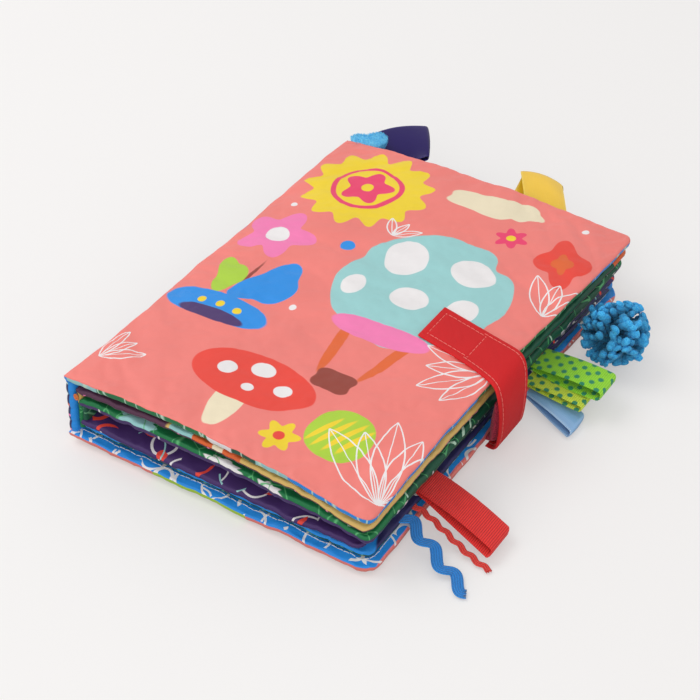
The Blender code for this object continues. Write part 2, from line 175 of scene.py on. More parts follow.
def grid_mesh(name, points, flat, flip=False, wrap=False, caps=False):
    """A mesh from rows and columns of points, in mm. Wrap joins the last column to the first.
    Flat holds the same grid laid flat, with one more column where it wraps."""
    rows, columns = points.shape[:2]
    corner = np.arange(rows * columns).reshape(rows, columns)
    if wrap:
        corner = np.concatenate([corner, corner[:, :1]], axis=1)
    place = np.arange(flat.shape[0] * flat.shape[1]).reshape(flat.shape[:2])

    def quads(grid):
        around = [grid[:-1, :-1], grid[:-1, 1:], grid[1:, 1:], grid[1:, :-1]]
        return np.stack(around, axis=-1).reshape(-1, 4)[:, :: -1 if flip else 1]

    faces = quads(corner).tolist()
    flat_corners = quads(place).ravel()
    if caps:
        first, last = corner[0, :-1].tolist(), corner[-1, :-1].tolist()
        faces += [first[:: 1 if flip else -1], last[:: -1 if flip else 1]]
        flat_corners = np.concatenate([flat_corners, np.zeros(len(first) + len(last), int)])
    mesh = bpy.data.meshes.new(name)
    mesh.from_pydata((points.reshape(-1, 3) * mm).tolist(), [], faces)
    uv = mesh.uv_layers.new(name="flat")
    uv.uv.foreach_set("vector", (flat.reshape(-1, 2)[flat_corners] * mm).astype(np.float32).ravel())
    return mesh


def piece(name, mesh, *finishes, angle=60):
    """An object of the book, smooth where its faces turn gently."""
    mesh.name = name
    mesh.materials.clear()
    for finish in finishes:
        mesh.materials.append(finish)
    mesh.shade_smooth()
    mesh.set_sharp_from_angle(angle=math.radians(angle))
    obj = bpy.data.objects.new(name, mesh)
    scene.collection.objects.link(obj)
    print(name, len(mesh.polygons), "faces")
    return obj


def seat(obj, body, slot, *nodes):
    """The piece moves with a body and stands for solids of the construction, which it hides. The slot is not
    used.
    """
    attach(obj, body)
    if nodes:
        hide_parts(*nodes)
    return obj


def seat_across(obj, low_body, high_body, start, end, slot, *nodes):
    """Keeps the piece where it is and hides the solids it stands for. The two bodies, start and end are not
    used.
    """
    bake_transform(obj)
    if nodes:
        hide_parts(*nodes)
    return obj


def waves(place, lengths, heights, seed):
    """An uneven wave along a line: sines of several lengths with seeded starts."""
    random = np.random.default_rng(seed)
    total = np.zeros_like(place, dtype=float)
    for length, height in zip(lengths, heights):
        total = total + height * np.sin(2 * np.pi * place / length + random.uniform(0, 2 * np.pi))
    return total


# %% [markdown]
# A finish is built from nodes. These helpers add a node, fill its sockets and return it, so that a
# material reads from top to bottom like a recipe. Colours are written as they look on a screen
# and turned into the linear light values that a shader needs.

# %% Building node trees


def srgb(red, green, blue):
    """A linear colour from screen values of 0 to 255."""
    shares = (value / 255 for value in (red, green, blue))
    return (*(s / 12.92 if s <= 0.04045 else ((s + 0.055) / 1.055) ** 2.4 for s in shares), 1)


def add(tree, kind, inputs=None, **settings):
    """Adds a node with its settings, and links or fills its inputs."""
    made = tree.nodes.new(kind)
    for name, value in settings.items():
        setattr(made, name, value)
    for name, value in (inputs or {}).items():
        if isinstance(value, bpy.types.NodeSocket):
            tree.links.new(value, made.inputs[name])
        else:
            made.inputs[name].default_value = value
    return made


def math_of(tree, operation, *values):
    """The result of a Math node."""
    return add(tree, "ShaderNodeMath", dict(enumerate(values)), operation=operation).outputs[0]


def mix_of(tree, share, first, second):
    """A mix of two colours."""
    made = add(tree, "ShaderNodeMix", {"Factor": share}, data_type="RGBA")
    for socket, value in ((6, first), (7, second)):
        if isinstance(value, bpy.types.NodeSocket):
            tree.links.new(value, made.inputs[socket])
        else:
            made.inputs[socket].default_value = value
    return made.outputs[2]


def group_tree(name, kind, inputs, outputs):
    """An empty node group with named sockets. Inputs holds name: (socket kind, value)."""
    tree = bpy.data.node_groups.new(name, kind)
    for socket, (socket_kind, value) in inputs.items():
        made = tree.interface.new_socket(name=socket, in_out="INPUT", socket_type=socket_kind)
        if value is not None:
            made.default_value = value
    for socket, socket_kind in outputs.items():
        tree.interface.new_socket(name=socket, in_out="OUTPUT", socket_type=socket_kind)
    return tree, tree.nodes.new("NodeGroupInput").outputs, tree.nodes.new("NodeGroupOutput").inputs


def use_group(tree, group, **inputs):
    """Places a node group in a material. A space in a socket's name is written as an underscore."""
    named = {name.replace("_", " "): value for name, value in inputs.items()}
    made = tree.nodes.new("ShaderNodeGroup")
    made.node_tree = group
    for name, value in named.items():
        if isinstance(value, bpy.types.NodeSocket):
            tree.links.new(value, made.inputs[name])
        else:
            made.inputs[name].default_value = value
    return made.outputs


number = "NodeSocketFloat"
vector = "NodeSocketVector"
shader_kind = "ShaderNodeTree"

# %% [markdown]
# Woven cloth is an over-and-under grid of threads. Two sine waves multiplied give that grid, and a
# little noise keeps it from looking printed. As a group it serves every cloth at its own pitch.

# %% The weave group
weave, put, get = group_tree(
    "weave",
    shader_kind,
    {"Place": (vector, None), "Pitch": (number, 0.4), "Slack": (number, 0.3)},
    {"Height": number},
)
slack = add(weave, "ShaderNodeTexNoise", {"Vector": put["Place"], "Scale": 0.6, "Detail": 3.0})
shifted = add(
    weave,
    "ShaderNodeVectorMath",
    {0: slack.outputs["Color"], 1: put["Slack"], 2: put["Place"]},
    operation="MULTIPLY_ADD",
)
turns = math_of(weave, "DIVIDE", 2 * math.pi, put["Pitch"])
scaled = add(weave, "ShaderNodeVectorMath", {0: shifted.outputs[0], "Scale": turns}, operation="SCALE")
parts = add(weave, "ShaderNodeSeparateXYZ", {0: scaled.outputs[0]}).outputs
over = math_of(weave, "MULTIPLY", math_of(weave, "SINE", parts[0]), math_of(weave, "SINE", parts[1]))
weave.links.new(math_of(weave, "MULTIPLY_ADD", over, 0.5, 0.5), get["Height"])

# %% [markdown]
# The prints are flat shapes with soft hand-drawn outlines. One group draws any of them: a disc
# whose edge can be waved into petals or rays, stretched, turned, and filled or left as a line.

# %% The print shape group
shape, put, get = group_tree(
    "print_shape",
    shader_kind,
    {
        "Place": (vector, None),
        "Centre": (vector, None),
        "Size": (vector, None),
        "Turn": (number, 0.0),
        "Petals": (number, 0.0),
        "Depth": (number, 0.0),
        "Line": (number, 9.0),
        "Soft": (number, 0.02),
    },
    {"Mask": number},
)


def turned_place(tree, put):
    """The place in a shape's own directions, measured from its centre."""
    centres = {0: put["Place"], 1: put["Centre"]}
    from_centre = add(tree, "ShaderNodeVectorMath", centres, operation="SUBTRACT").outputs[0]
    way = {"Vector": from_centre, "Angle": put["Turn"]}
    return add(tree, "ShaderNodeVectorRotate", way, rotation_type="Z_AXIS", invert=True).outputs[0]


sizes = {0: turned_place(shape, put), 1: put["Size"]}
share_of_size = add(shape, "ShaderNodeVectorMath", sizes, operation="DIVIDE").outputs[0]
parts = add(shape, "ShaderNodeSeparateXYZ", {0: share_of_size}).outputs
way = math_of(shape, "ARCTAN2", parts[1], parts[0])
ripple = math_of(shape, "COSINE", math_of(shape, "MULTIPLY", way, put["Petals"]))
rim = math_of(shape, "MULTIPLY_ADD", ripple, put["Depth"], 1.0)
away = add(shape, "ShaderNodeVectorMath", {0: share_of_size}, operation="LENGTH").outputs["Value"]
reach = math_of(shape, "DIVIDE", away, rim)


def filled(distance):
    """1 inside the outline and 0 outside, with a soft edge."""
    inside = math_of(shape, "SUBTRACT", 1.0, distance)
    return add(
        shape, "ShaderNodeMapRange", {"Value": inside, "From Min": 0.0, "From Max": put["Soft"]},
        interpolation_type="SMOOTHSTEP",
    ).outputs[0]


hollow = filled(math_of(shape, "ADD", reach, put["Line"]))
shape.links.new(math_of(shape, "SUBTRACT", filled(reach), hollow), get["Mask"])

# %% [markdown]
# The white plants on the cover are drawn in line: pointed leaves with a rib down the middle. Two
# bowed lines that cross at both tips make such a leaf.

# %% The leaf outline group
leaf_line, put, get = group_tree(
    "leaf_line",
    shader_kind,
    {
        "Place": (vector, None),
        "Centre": (vector, None),
        "Length": (number, 20.0),
        "Width": (number, 5.0),
        "Turn": (number, 0.0),
        "Line": (number, 0.35),
    },
    {"Mask": number},
)
parts = add(leaf_line, "ShaderNodeSeparateXYZ", {0: turned_place(leaf_line, put)}).outputs
away = math_of(leaf_line, "ABSOLUTE", parts[1])
share = math_of(leaf_line, "DIVIDE", math_of(leaf_line, "ABSOLUTE", parts[0]), put["Length"])
fullness = math_of(leaf_line, "SUBTRACT", 1.0, math_of(leaf_line, "POWER", share, 2.0))
bow = math_of(leaf_line, "MULTIPLY", put["Width"], fullness)
from_bow = math_of(leaf_line, "ABSOLUTE", math_of(leaf_line, "SUBTRACT", away, bow))
from_line = math_of(leaf_line, "MINIMUM", from_bow, math_of(leaf_line, "ADD", away, 0.12))
drawn = math_of(leaf_line, "LESS_THAN", from_line, put["Line"])
within = math_of(leaf_line, "LESS_THAN", share, 1.0)
leaf_line.links.new(math_of(leaf_line, "MULTIPLY", drawn, within), get["Mask"])

# %% [markdown]
# Thin printed lines, such as leaf veins and crayon scribbles, come from cells: the borders between
# scattered cells make a net of veins, and rings round their middles, broken by noise, make scribbles.

# %% The line print groups
veins, put, get = group_tree(
    "veins",
    shader_kind,
    {"Place": (vector, None), "Scale": (number, 12.0), "Width": (number, 0.5)},
    {"Mask": number},
)
cell_rate = math_of(veins, "DIVIDE", 1.0, put["Scale"])
cells = add(
    veins, "ShaderNodeTexVoronoi", {"Vector": put["Place"], "Scale": cell_rate}, feature="DISTANCE_TO_EDGE"
)
line = add(
    veins,
    "ShaderNodeMapRange",
    {
        "Value": math_of(veins, "MULTIPLY", cells.outputs["Distance"], put["Scale"]),
        "From Min": 0.0,
        "From Max": put["Width"],
        "To Min": 1.0,
        "To Max": 0.0,
    },
    interpolation_type="SMOOTHSTEP",
)
veins.links.new(line.outputs[0], get["Mask"])

scribble, put, get = group_tree(
    "scribble",
    shader_kind,
    {
        "Place": (vector, None),
        "Scale": (number, 20.0),
        "Radius": (number, 7.0),
        "Width": (number, 0.5),
        "Breaks": (number, 0.5),
    },
    {"Mask": number},
)
cell_rate = math_of(scribble, "DIVIDE", 1.0, put["Scale"])
cells = add(scribble, "ShaderNodeTexVoronoi", {"Vector": put["Place"], "Scale": cell_rate}, feature="F1")
distance = math_of(scribble, "MULTIPLY", cells.outputs["Distance"], put["Scale"])
from_ring = math_of(scribble, "ABSOLUTE", math_of(scribble, "SUBTRACT", distance, put["Radius"]))
ring = math_of(scribble, "LESS_THAN", from_ring, put["Width"])
broken = add(scribble, "ShaderNodeTexNoise", {"Vector": put["Place"], "Scale": 0.09, "Detail": 0.0})
kept = math_of(scribble, "GREATER_THAN", broken.outputs[0], put["Breaks"])
scribble.links.new(math_of(scribble, "MULTIPLY", ring, kept), get["Mask"])

# %% [markdown]
# Fuzzy things, such as plush, chenille and hook tape, are lumpy at two scales. This group mixes a
# coarse and a fine noise, for bump and for the shade between the tufts.

# %% The fuzz group
fuzz, put, get = group_tree(
    "fuzz", shader_kind, {"Place": (vector, None), "Lump": (number, 1.0)}, {"Height": number}
)
rate = math_of(fuzz, "DIVIDE", 1.0, put["Lump"])
coarse = add(fuzz, "ShaderNodeTexNoise", {"Vector": put["Place"], "Scale": rate, "Detail": 2.0})
fine_rate = math_of(fuzz, "MULTIPLY", rate, 4.0)
fine = add(fuzz, "ShaderNodeTexNoise", {"Vector": put["Place"], "Scale": fine_rate, "Detail": 3.0})
fuzz.links.new(math_of(fuzz, "MULTIPLY_ADD", fine.outputs[0], 0.45, coarse.outputs[0]), get["Height"])

# %% [markdown]
# Every finish starts the same way: a Principled shader, the cloth's own flat coordinates in
# millimetres, and fixed numbers for gloss and sheen set on the shader itself.

# %% Starting a finish


def finish_tree(name, roughness, sheen=0.0, specular=0.5, object_space=False):
    """A new material: its tree, its shader and the place on the cloth in mm."""
    made = bpy.data.materials.new(name)
    made.use_nodes = True
    tree = made.node_tree
    shader = tree.nodes["Principled BSDF"]
    shader.inputs["Roughness"].default_value = roughness
    shader.inputs["Sheen Weight"].default_value = sheen
    shader.inputs["Specular IOR Level"].default_value = specular
    source = add(tree, "ShaderNodeTexCoord").outputs["Object" if object_space else "UV"]
    place = add(tree, "ShaderNodeVectorMath", {0: source, "Scale": 1 / mm}, operation="SCALE").outputs[0]
    return made, tree, shader, place


def bump(tree, shader, height, distance, strength=1.0):
    """Gives the finish a relief of so many millimetres."""
    made = add(tree, "ShaderNodeBump", {"Height": height, "Distance": distance * mm, "Strength": strength})
    tree.links.new(made.outputs[0], shader.inputs["Normal"])


def mottled(tree, place, colour, amount=0.08, scale=0.03):
    """The colour, a little lighter and darker in soft patches as ink on cloth is."""
    noise = add(tree, "ShaderNodeTexNoise", {"Vector": place, "Scale": scale, "Detail": 4.0})
    limits = {"From Min": 0.3, "From Max": 0.7, "To Min": 1 - amount, "To Max": 1 + amount}
    share = add(tree, "ShaderNodeMapRange", {"Value": noise.outputs[0], **limits}).outputs[0]
    bright = add(tree, "ShaderNodeHueSaturation", {"Value": share, "Color": colour})
    return bright.outputs[0]


def set_colour(tree, shader, colour):
    """Links or sets the finish's colour."""
    if isinstance(colour, bpy.types.NodeSocket):
        tree.links.new(colour, shader.inputs["Base Color"])
    else:
        shader.inputs["Base Color"].default_value = colour


coral = srgb(246, 132, 124)
sky = srgb(34, 146, 234)
navy = srgb(44, 40, 92)
plum = srgb(70, 42, 104)
leaf_green = srgb(16, 120, 66)
dark_green = srgb(12, 84, 58)
tan = srgb(232, 190, 108)
orange = srgb(232, 104, 48)
teal = srgb(158, 212, 212)
white = srgb(244, 240, 240)
cream = srgb(244, 230, 198)
yellow = srgb(248, 216, 44)
hot_pink = srgb(240, 62, 110)
candy_pink = srgb(250, 128, 184)
poppy = srgb(240, 70, 56)
lime = srgb(176, 214, 60)
brown = srgb(150, 62, 48)

# %% [markdown]
# A printed cloth is a ground colour with shapes laid over it one after another. Each shape is a
# line in a table: its colour, place, size, turn, and how it is petalled or left as an outline.
# Placing a shape and its mix in turn keeps the shader light, however many shapes there are.

# %% Printing on cloth
hand_wobble = 1.4


def print_shapes(tree, place, ground, shapes):
    """Lays shapes over a ground colour, in order. A shape is colour, x, y, half length, half width,
    then if need be its turn in degrees, petals, their depth, and the line's share of its size."""
    colour = ground
    for ink_colour, x, y, length, width, *rest in shapes:
        turn, petals, depth, line_share = (rest + [0, 0, 0, 9][len(rest):])[:4]
        mask = use_group(
            tree, shape, Place=place, Centre=(x, y, 0), Size=(length, width, 1), Turn=math.radians(turn),
            Petals=petals, Depth=depth, Line=line_share, Soft=0.5 / min(length, width),
        )["Mask"]
        colour = mix_of(tree, mask, colour, ink_colour)
    return colour


def printed_cloth(name, ground, shapes=(), lines=(), leaves=(), roughness=0.5):
    """A smooth printed cloth. Lines are thin patterns: kind, colour, scale, width and a shift."""
    made, tree, shader, place = finish_tree(name, roughness, sheen=0.05, specular=0.4)
    wobble = add(tree, "ShaderNodeTexNoise", {"Vector": place, "Scale": 0.045, "Detail": 0.0})
    about_half = {0: wobble.outputs["Color"], 1: (0.5, 0.5, 0.5)}
    centred = add(tree, "ShaderNodeVectorMath", about_half, operation="SUBTRACT").outputs[0]
    moved = {0: centred, 1: (hand_wobble,) * 3, 2: place}
    drawn = add(tree, "ShaderNodeVectorMath", moved, operation="MULTIPLY_ADD").outputs[0]
    colour = print_shapes(tree, drawn, ground, shapes)
    for x, y, length, width, turn in leaves:
        mask = use_group(
            tree, leaf_line, Place=drawn, Centre=(x, y, 0), Length=length, Width=width,
            Turn=math.radians(turn),
        )["Mask"]
        colour = mix_of(tree, mask, colour, white)
    for kind, line_colour, scale, width, shift in lines:
        moved = add(tree, "ShaderNodeVectorMath", {0: drawn, 1: (shift, -shift, 0)}, operation="ADD")
        if kind == "veins":
            mask = use_group(tree, veins, Place=moved.outputs[0], Scale=scale, Width=width)["Mask"]
        else:
            mask = use_group(
                tree, scribble, Place=moved.outputs[0], Scale=scale, Radius=scale * 0.4, Width=width,
                Breaks=0.5,
            )["Mask"]
        colour = mix_of(tree, mask, colour, line_colour)
    set_colour(tree, shader, mottled(tree, place, colour, 0.05))
    threads = use_group(tree, weave, Place=place, Pitch=0.5, Slack=0.4)["Height"]
    bump(tree, shader, threads, 0.03, 0.5)
    return made


def bloom(colour, middle, x, y, size, petals=6, turn=0):
    """A flower: its petals and its middle."""
    return [
        (colour, x, y, size, size, turn, petals, 0.24),
        (middle, x, y, size * 0.36, size * 0.36),
    ]


def fan(x, y, length, turn, leaves=4, spread=27):
    """Long pointed leaves drawn in line, which grow from one place."""
    drawn = []
    for i in range(leaves):
        lean = (i - (leaves - 1) / 2) * spread
        half = length / 2 * (1 - 0.14 * (i % 2))
        way = math.radians(turn + lean)
        drawn.append((x + math.cos(way) * half, y + math.sin(way) * half, half, half * 0.3, turn + lean))
    return drawn


# %% [markdown]
# The front cover is a garden party: a spotted teal balloon, a sun, a toadstool, a toy boat, a kite,
# a cloud, blooms and a striped ball on coral, with sprigs drawn in white. The shapes are broad and
# few, at the scale a baby can follow.

# %% The front cover's print
balloon = [
    (orange, 10, -32, 3, 26, 10),
    (orange, 38, -28, 3, 26, -12),
    (brown, 24, -56, 12, 8, 0, 4, -0.1),
    (teal, 22, 20, 42, 46, 0, 0, 0),
    (candy_pink, 23, -17, 25, 9, 2, 2, 0.1),
    (white, 2, 38, 11, 14, 20),
    (white, 36, 44, 13, 10, -15),
    (white, 20, 12, 10, 8, 10),
    (white, 46, 16, 8, 10, 0),
    (white, -8, 8, 6, 8, 0),
]
sun = [
    (yellow, -46, 78, 31, 31, 0, 13, 0.1),
    (hot_pink, -46, 78, 19, 19, 0, 0, 0, 0.14),
    (hot_pink, -46, 78, 12, 12, 20, 5, 0.2),
    (yellow, -46, 78, 3.6, 3.6),
]
toadstool = [
    (cream, -8, -93, 8, 17, 4),
    (poppy, -7, -74, 30, 18, 0, 2, 0.08),
    (white, -22, -73, 5, 4.5),
    (white, -7, -66, 6.5, 5),
    (white, 9, -74, 4.6, 4.2),
    (white, -6, -80, 3.4, 2.8),
]
boat = [
    (brown, -53, -18, 1.3, 22),
    (sky, -41, -14, 12, 19, -24, 3, 0.2),
    (lime, -63, -16, 8, 14, 22, 3, 0.2),
    (sky, -52, -40, 27, 11, 0, 2, 0.1),
    (plum, -52, -46, 19, 4.4, 0),
    (yellow, -62, -39, 2.4, 2.4),
    (yellow, -52, -38, 2.4, 2.4),
    (yellow, -42, -39, 2.4, 2.4),
]
striped_ball = [
    (lime, 46, -84, 16, 16),
    (yellow, 38, -84, 1.7, 12, -22),
    (yellow, 43, -84, 1.7, 14.5, -22),
    (yellow, 48.5, -84, 1.7, 14.5, -22),
    (yellow, 54, -84, 1.7, 12, -22),
]
kite = [(poppy, 66, 74, 12, 17, 24, 4, 0.2), (orange, 66, 74, 5, 7, 24, 4, 0.2)]
cover_shapes = (
    balloon + sun + toadstool + boat + striped_ball + kite
    + [(cream, 12, 96, 22, 9, 4, 5, 0.08), (cream, 28, 100, 13, 8, 0, 5, 0.08)]
    + bloom(candy_pink, white, -62, 22, 17, 5, 12)
    + bloom(hot_pink, yellow, 36, 78, 7, 6)
    + bloom(yellow, poppy, 24, -98, 8, 6, 20)
    + [(sky, -28, 32, 4, 4), (white, -70, 48, 2, 2)]
    + [(white, -22, -22, 2.2, 2.2), (white, 62, 104, 2, 2)]
)
cover_leaves = (
    fan(80, -14, 34, 215, 4, 24) + fan(80, -106, 46, 112, 5, 19) + fan(78, 34, 30, 100, 3, 24)
    + fan(-78, -96, 22, 60, 3, 30) + fan(-14, 50, 15, 80, 3, 40)
)
front_print = printed_cloth("front_print", coral, cover_shapes, leaves=cover_leaves)

# %% [markdown]
# The other cloths are seen as narrow bands in the pile and whole when the book is opened: a green
# meadow, a tan field, a plum night with scribbles, blue linings with pale veins and scribbles.

# %% The pages' prints
mauve = srgb(92, 50, 78)
vein_white = srgb(206, 236, 214)
front_lining = [
    (teal, -71, -114, 10, 8), (leaf_green, -28, -112, 38, 12), (white, 6, -114, 9, 4, 0, 7, 0.2),
    (dark_green, 18, -114, 8, 6), (teal, 30, -115, 9, 5, 0, 5, 0.2),
    (leaf_green, 82, 22, 12, 52, 0, 9, 0.05), (lime, 20, 30, 22, 14, 20), (lime, -34, -30, 16, 10, -20),
]
front_lining += bloom(candy_pink, yellow, -24, 44, 13, 7) + bloom(white, yellow, 36, -62, 10, 6)
meadow = [
    (teal, -43, -112, 10, 7, 0, 9, 0.16), (teal, 40, 96, 50, 20), (white, 5, -114, 10, 3.4, 0, 9, 0.16),
    (white, 30, -114, 7, 3, 0, 7, 0.2), (dark_green, 82, 10, 14, 100),
    (sky, 34, -62, 26, 18, 0, 7, 0.1), (lime, -30, 10, 34, 30, 0, 7, 0.08), (brown, -30, -34, 5, 22, 0),
]
meadow += bloom(yellow, poppy, 30, 22, 18, 8) + bloom(candy_pink, white, 54, -20, 12, 6)
field = [
    (teal, 0, 80, 120, 48, 0, 9, 0.06), (cream, -20, 82, 22, 10, 0, 5, 0.12), (mauve, -62, -110, 40, 12),
    (teal, -17, -112, 8, 9, 0, 5, 0.1), (orange, -5, -110, 7, 10, 0, 4, -0.1),
    (orange, 9, -111, 6, 8, 0, 4, -0.1), (cream, 2, -112, 3, 8),
    (dark_green, 80, 56, 9, 52, 0), (orange, 80, 108, 12, 9),
]
field += bloom(poppy, yellow, -30, 0, 22, 8) + bloom(plum, candy_pink, 30, -30, 14, 6)
# The navy band along the fore-edge, at x 88, is painted shade for the dark gap this leaf lies back in
night = [(yellow, -40, 60, 16, 16), (navy, -34, 64, 14, 14), (navy, 88, 0, 22, 112)]
night += bloom(white, teal, 24, 74, 8, 8) + bloom(candy_pink, yellow, 20, -10, 16, 7)
back_lining = [
    (coral, 93, 0, 12.2, 400), (teal, -6, -60, 34, 10, 4, 7, 0.16), (lime, 20, 30, 22, 14, 20),
    (leaf_green, -40, 70, 22, 12),
]
back_lining += bloom(candy_pink, yellow, -24, 34, 13, 7)

front_lining_print = printed_cloth(
    "front_lining_print", sky, front_lining, [("veins", vein_white, 14, 0.45, 9)]
)
back_lining_print = printed_cloth(
    "back_lining_print", sky, back_lining,
    [("scribble", white, 17, 0.5, 3), ("scribble", white, 23, 0.45, 41)],
)
meadow_print = printed_cloth(
    "meadow_print", leaf_green, meadow,
    [("veins", srgb(96, 190, 120), 13, 0.35, 3), ("scribble", srgb(190, 226, 200), 30, 0.4, 8)],
)
field_print = printed_cloth("field_print", tan, field)
mauve_print = printed_cloth(
    "mauve_print", mauve, bloom(poppy, cream, 0, 20, 26, 8), [("scribble", candy_pink, 22, 0.5, 2)]
)
night_print = printed_cloth(
    "night_print",
    plum,
    night,
    [("scribble", white, 24, 0.45, 5), ("scribble", poppy, 21, 0.7, 41), ("scribble", teal, 27, 0.35, 77)],
)
# The dark green band along the fore-edge, at x 86, is painted shade for the shadowed gap between the leaves
dusk_print = printed_cloth(
    "dusk_print", plum, [(dark_green, 86, 0, 16, 112)] + bloom(poppy, yellow, 0, 30, 24, 9),
    [("scribble", white, 22, 0.45, 15)],
)
# The navy band along the fore-edge, at x 86, is painted shade where this leaf lies back in shadow
pond_print = printed_cloth(
    "pond_print", sky,
    bloom(yellow, orange, -10, 10, 24, 9) + [(lime, 44, 70, 18, 12), (navy, 86, 0, 22, 112)],
    [("scribble", white, 19, 0.45, 30)],
)
forest_print = printed_cloth(
    "forest_print", dark_green, bloom(lime, yellow, 10, -10, 24, 6),
    [("veins", srgb(110, 180, 130), 14, 0.5, 5)],
)
back_shapes = [
    (lime, -9, -114, 26, 16), (teal, 8, 30, 34, 26, 0, 5, 0.08), (white, 0, 36, 9, 7),
    (white, 20, 24, 6, 6),
]
back_shapes += bloom(yellow, hot_pink, -38, -40, 20, 8)
back_leaves = fan(60, -80, 40, 110, 4) + fan(-60, 70, 34, 80, 3)
back_print = printed_cloth("back_print", coral, back_shapes, leaves=back_leaves)

# %% [markdown]
# Cloth sewn round a pillow has a little more length than its seams, so it ripples along them and
# stays smooth in the middle. A cloth simulation finds those ripples: a flat sheet, a touch too
# large, is held at its rim and blown up. Only its small ripples are kept, as a height map that all
# the padded panels share, turned about so that no two edges ripple alike.

# %% Blowing up one panel
sheet_columns = 73
sheet_rows = 101
sheet_scale = 10
simulated_frames = 26
spare_cloth = 0.022
ripple_limit = 0.9
broad_span = 9


def blown_sheet():
    """The height over a panel of a spare sheet of cloth that is held at its rim and blown up."""
    bm = bmesh.new()
    bmesh.ops.create_grid(bm, x_segments=sheet_columns - 1, y_segments=sheet_rows - 1, size=1)
    bm.transform(Matrix.Diagonal((half_width * mm * sheet_scale, half_height * mm * sheet_scale, 1, 1)))
    rim = [vert.index for vert in bm.verts if vert.is_boundary]
    random = np.random.default_rng(11)
    for vert, lift in zip(bm.verts, random.normal(0, 0.002, len(bm.verts))):
        if not vert.is_boundary:
            vert.co.z += lift
    mesh = bpy.data.meshes.new("spare_sheet")
    bm.to_mesh(mesh)
    bm.free()
    obj = bpy.data.objects.new("spare_sheet", mesh)
    scene.collection.objects.link(obj)
    obj.vertex_groups.new(name="rim").add(rim, 1.0, "REPLACE")
    cloth = obj.modifiers.new("cloth", "CLOTH")
    settings = cloth.settings
    settings.quality = 6
    settings.mass = 0.2
    settings.tension_stiffness = settings.compression_stiffness = 30
    settings.shear_stiffness = 12
    settings.bending_stiffness = 0.06
    settings.shrink_min = -spare_cloth
    settings.vertex_group_mass = "rim"
    settings.use_pressure = True
    settings.uniform_pressure_force = 1.2
    settings.effector_weights.gravity = 0
    cloth.collision_settings.use_collision = False
    for number_of_frame in range(1, simulated_frames):
        scene.frame_set(number_of_frame)
    shown = obj.evaluated_get(bpy.context.evaluated_depsgraph_get())
    heights = np.empty(len(mesh.vertices) * 3)
    shown.data.vertices.foreach_get("co", heights)
    bpy.data.objects.remove(obj)
    scene.frame_set(1)
    return heights[2::3].reshape(sheet_rows, sheet_columns) / mm / sheet_scale


def blurred(field, span):
    """The field with its small ripples averaged away."""
    kernel = np.hanning(2 * span + 3)[1:-1]
    kernel /= kernel.sum()
    padded = np.pad(field, span, mode="reflect", reflect_type="odd")
    rows = np.array([np.convolve(row, kernel, mode="valid") for row in padded])
    return np.array([np.convolve(column, kernel, mode="valid") for column in rows.T]).T


ripples = blown_sheet()
ripples = ripples - blurred(ripples, broad_span)
ripples = ripple_limit * np.tanh(ripples / ripple_limit)
print("ripples up to", round(float(np.abs(ripples).max()), 2), "mm")

# %% [markdown]
# A pile of soft pages is never quite square. Each layer lies a few millimetres off the one below,
# given here at its four corners, and everything sewn to a layer goes with it.

# %% How the layers lie
# For each layer, how far its corners lie off, toward the fore-edge and toward the far edge:
# the spine's near corner, the fore-edge's near corner, the spine's far corner, the fore-edge's far corner
offsets = {
    "back_cover": ((0, 0), (-1.8, 0), (0, 0), (0, 0)),
    "leaf_4": ((0, 2.5), (-4.6, 2.5), (0, 0), (-1.5, 0)),
    "leaf_3": ((0, 0), (-8.5, 1.5), (0, 0), (-1, 0)),
    "leaf_2": ((0, 0), (-3.2, 0), (0.5, 0), (1.2, 0.5)),
    "leaf_1": ((0.3, 0.5), (-3.6, 0.2), (1, 0), (2.4, 1.5)),
    "front_cover": ((0.6, 0.6), (-3.2, 0.6), (2.4, -0.6), (2.6, 1.6)),
}
# How far the strap draws each layer's fore-edge in
waists = {
    "back_cover": -2.2,
    "leaf_4": -1.2,
    "leaf_3": -0.8,
    "leaf_2": -1.4,
    "leaf_1": -1.2,
    "front_cover": -1.65,
}
# How far each layer's near edge droops or lifts at the spine, in the middle and at the fore-edge, and
# how far its fore-edge does
droops = {
    "back_cover": (0, 0, 0, 1.2),
    "leaf_4": (-0.8, -1, -1, 0),
    "leaf_3": (-2.4, -3.9, -2.6, -2.8),
    "leaf_2": (0, -0.3, -4.4, -6),
    "leaf_1": (0, 0.8, -4.9, -3.5),
    "front_cover": (1.8, 0.9, -3.6, 0),
}


def lie(layer, x, y):
    """How far a layer lies off its place, toward the fore-edge and toward the far edge."""
    across = (x / half_width + 1) / 2
    along = (y / half_height + 1) / 2
    near_spine, near_fore, far_spine, far_fore = offsets[layer]
    off_x, off_y = [
        (near_spine[i] * (1 - across) + near_fore[i] * across) * (1 - along)
        + (far_spine[i] * (1 - across) + far_fore[i] * across) * along
        for i in (0, 1)
    ]
    return off_x + waists[layer] * across * (1 - (y / half_height) ** 2), off_y


def read_field(field, x, y):
    """Reads the ripples at any place of a panel."""
    rows, columns = field.shape
    across = np.clip((x / half_width + 1) / 2, 0, 1) * (columns - 1)
    along = np.clip((y / half_height + 1) / 2, 0, 1) * (rows - 1)
    i = np.minimum(across.astype(int), columns - 2)
    j = np.minimum(along.astype(int), rows - 2)
    u, v = across - i, along - j
    near = field[j, i] * (1 - u) + field[j, i + 1] * u
    far = field[j + 1, i] * (1 - u) + field[j + 1, i + 1] * u
    return near * (1 - v) + far * v


# %% [markdown]
# One function gives a padded panel's surface at any place: the padding's level, the shared ripples,
# the wander of the edge, and the turn of the cloth down into the seam. Panels, stitches and
# anything that lies on a page all use it.

# %% The surface of a padded panel
seam_tuck = 0.6
edge_wander_depth = 14
common_depth = 22
bulge_depth = 8
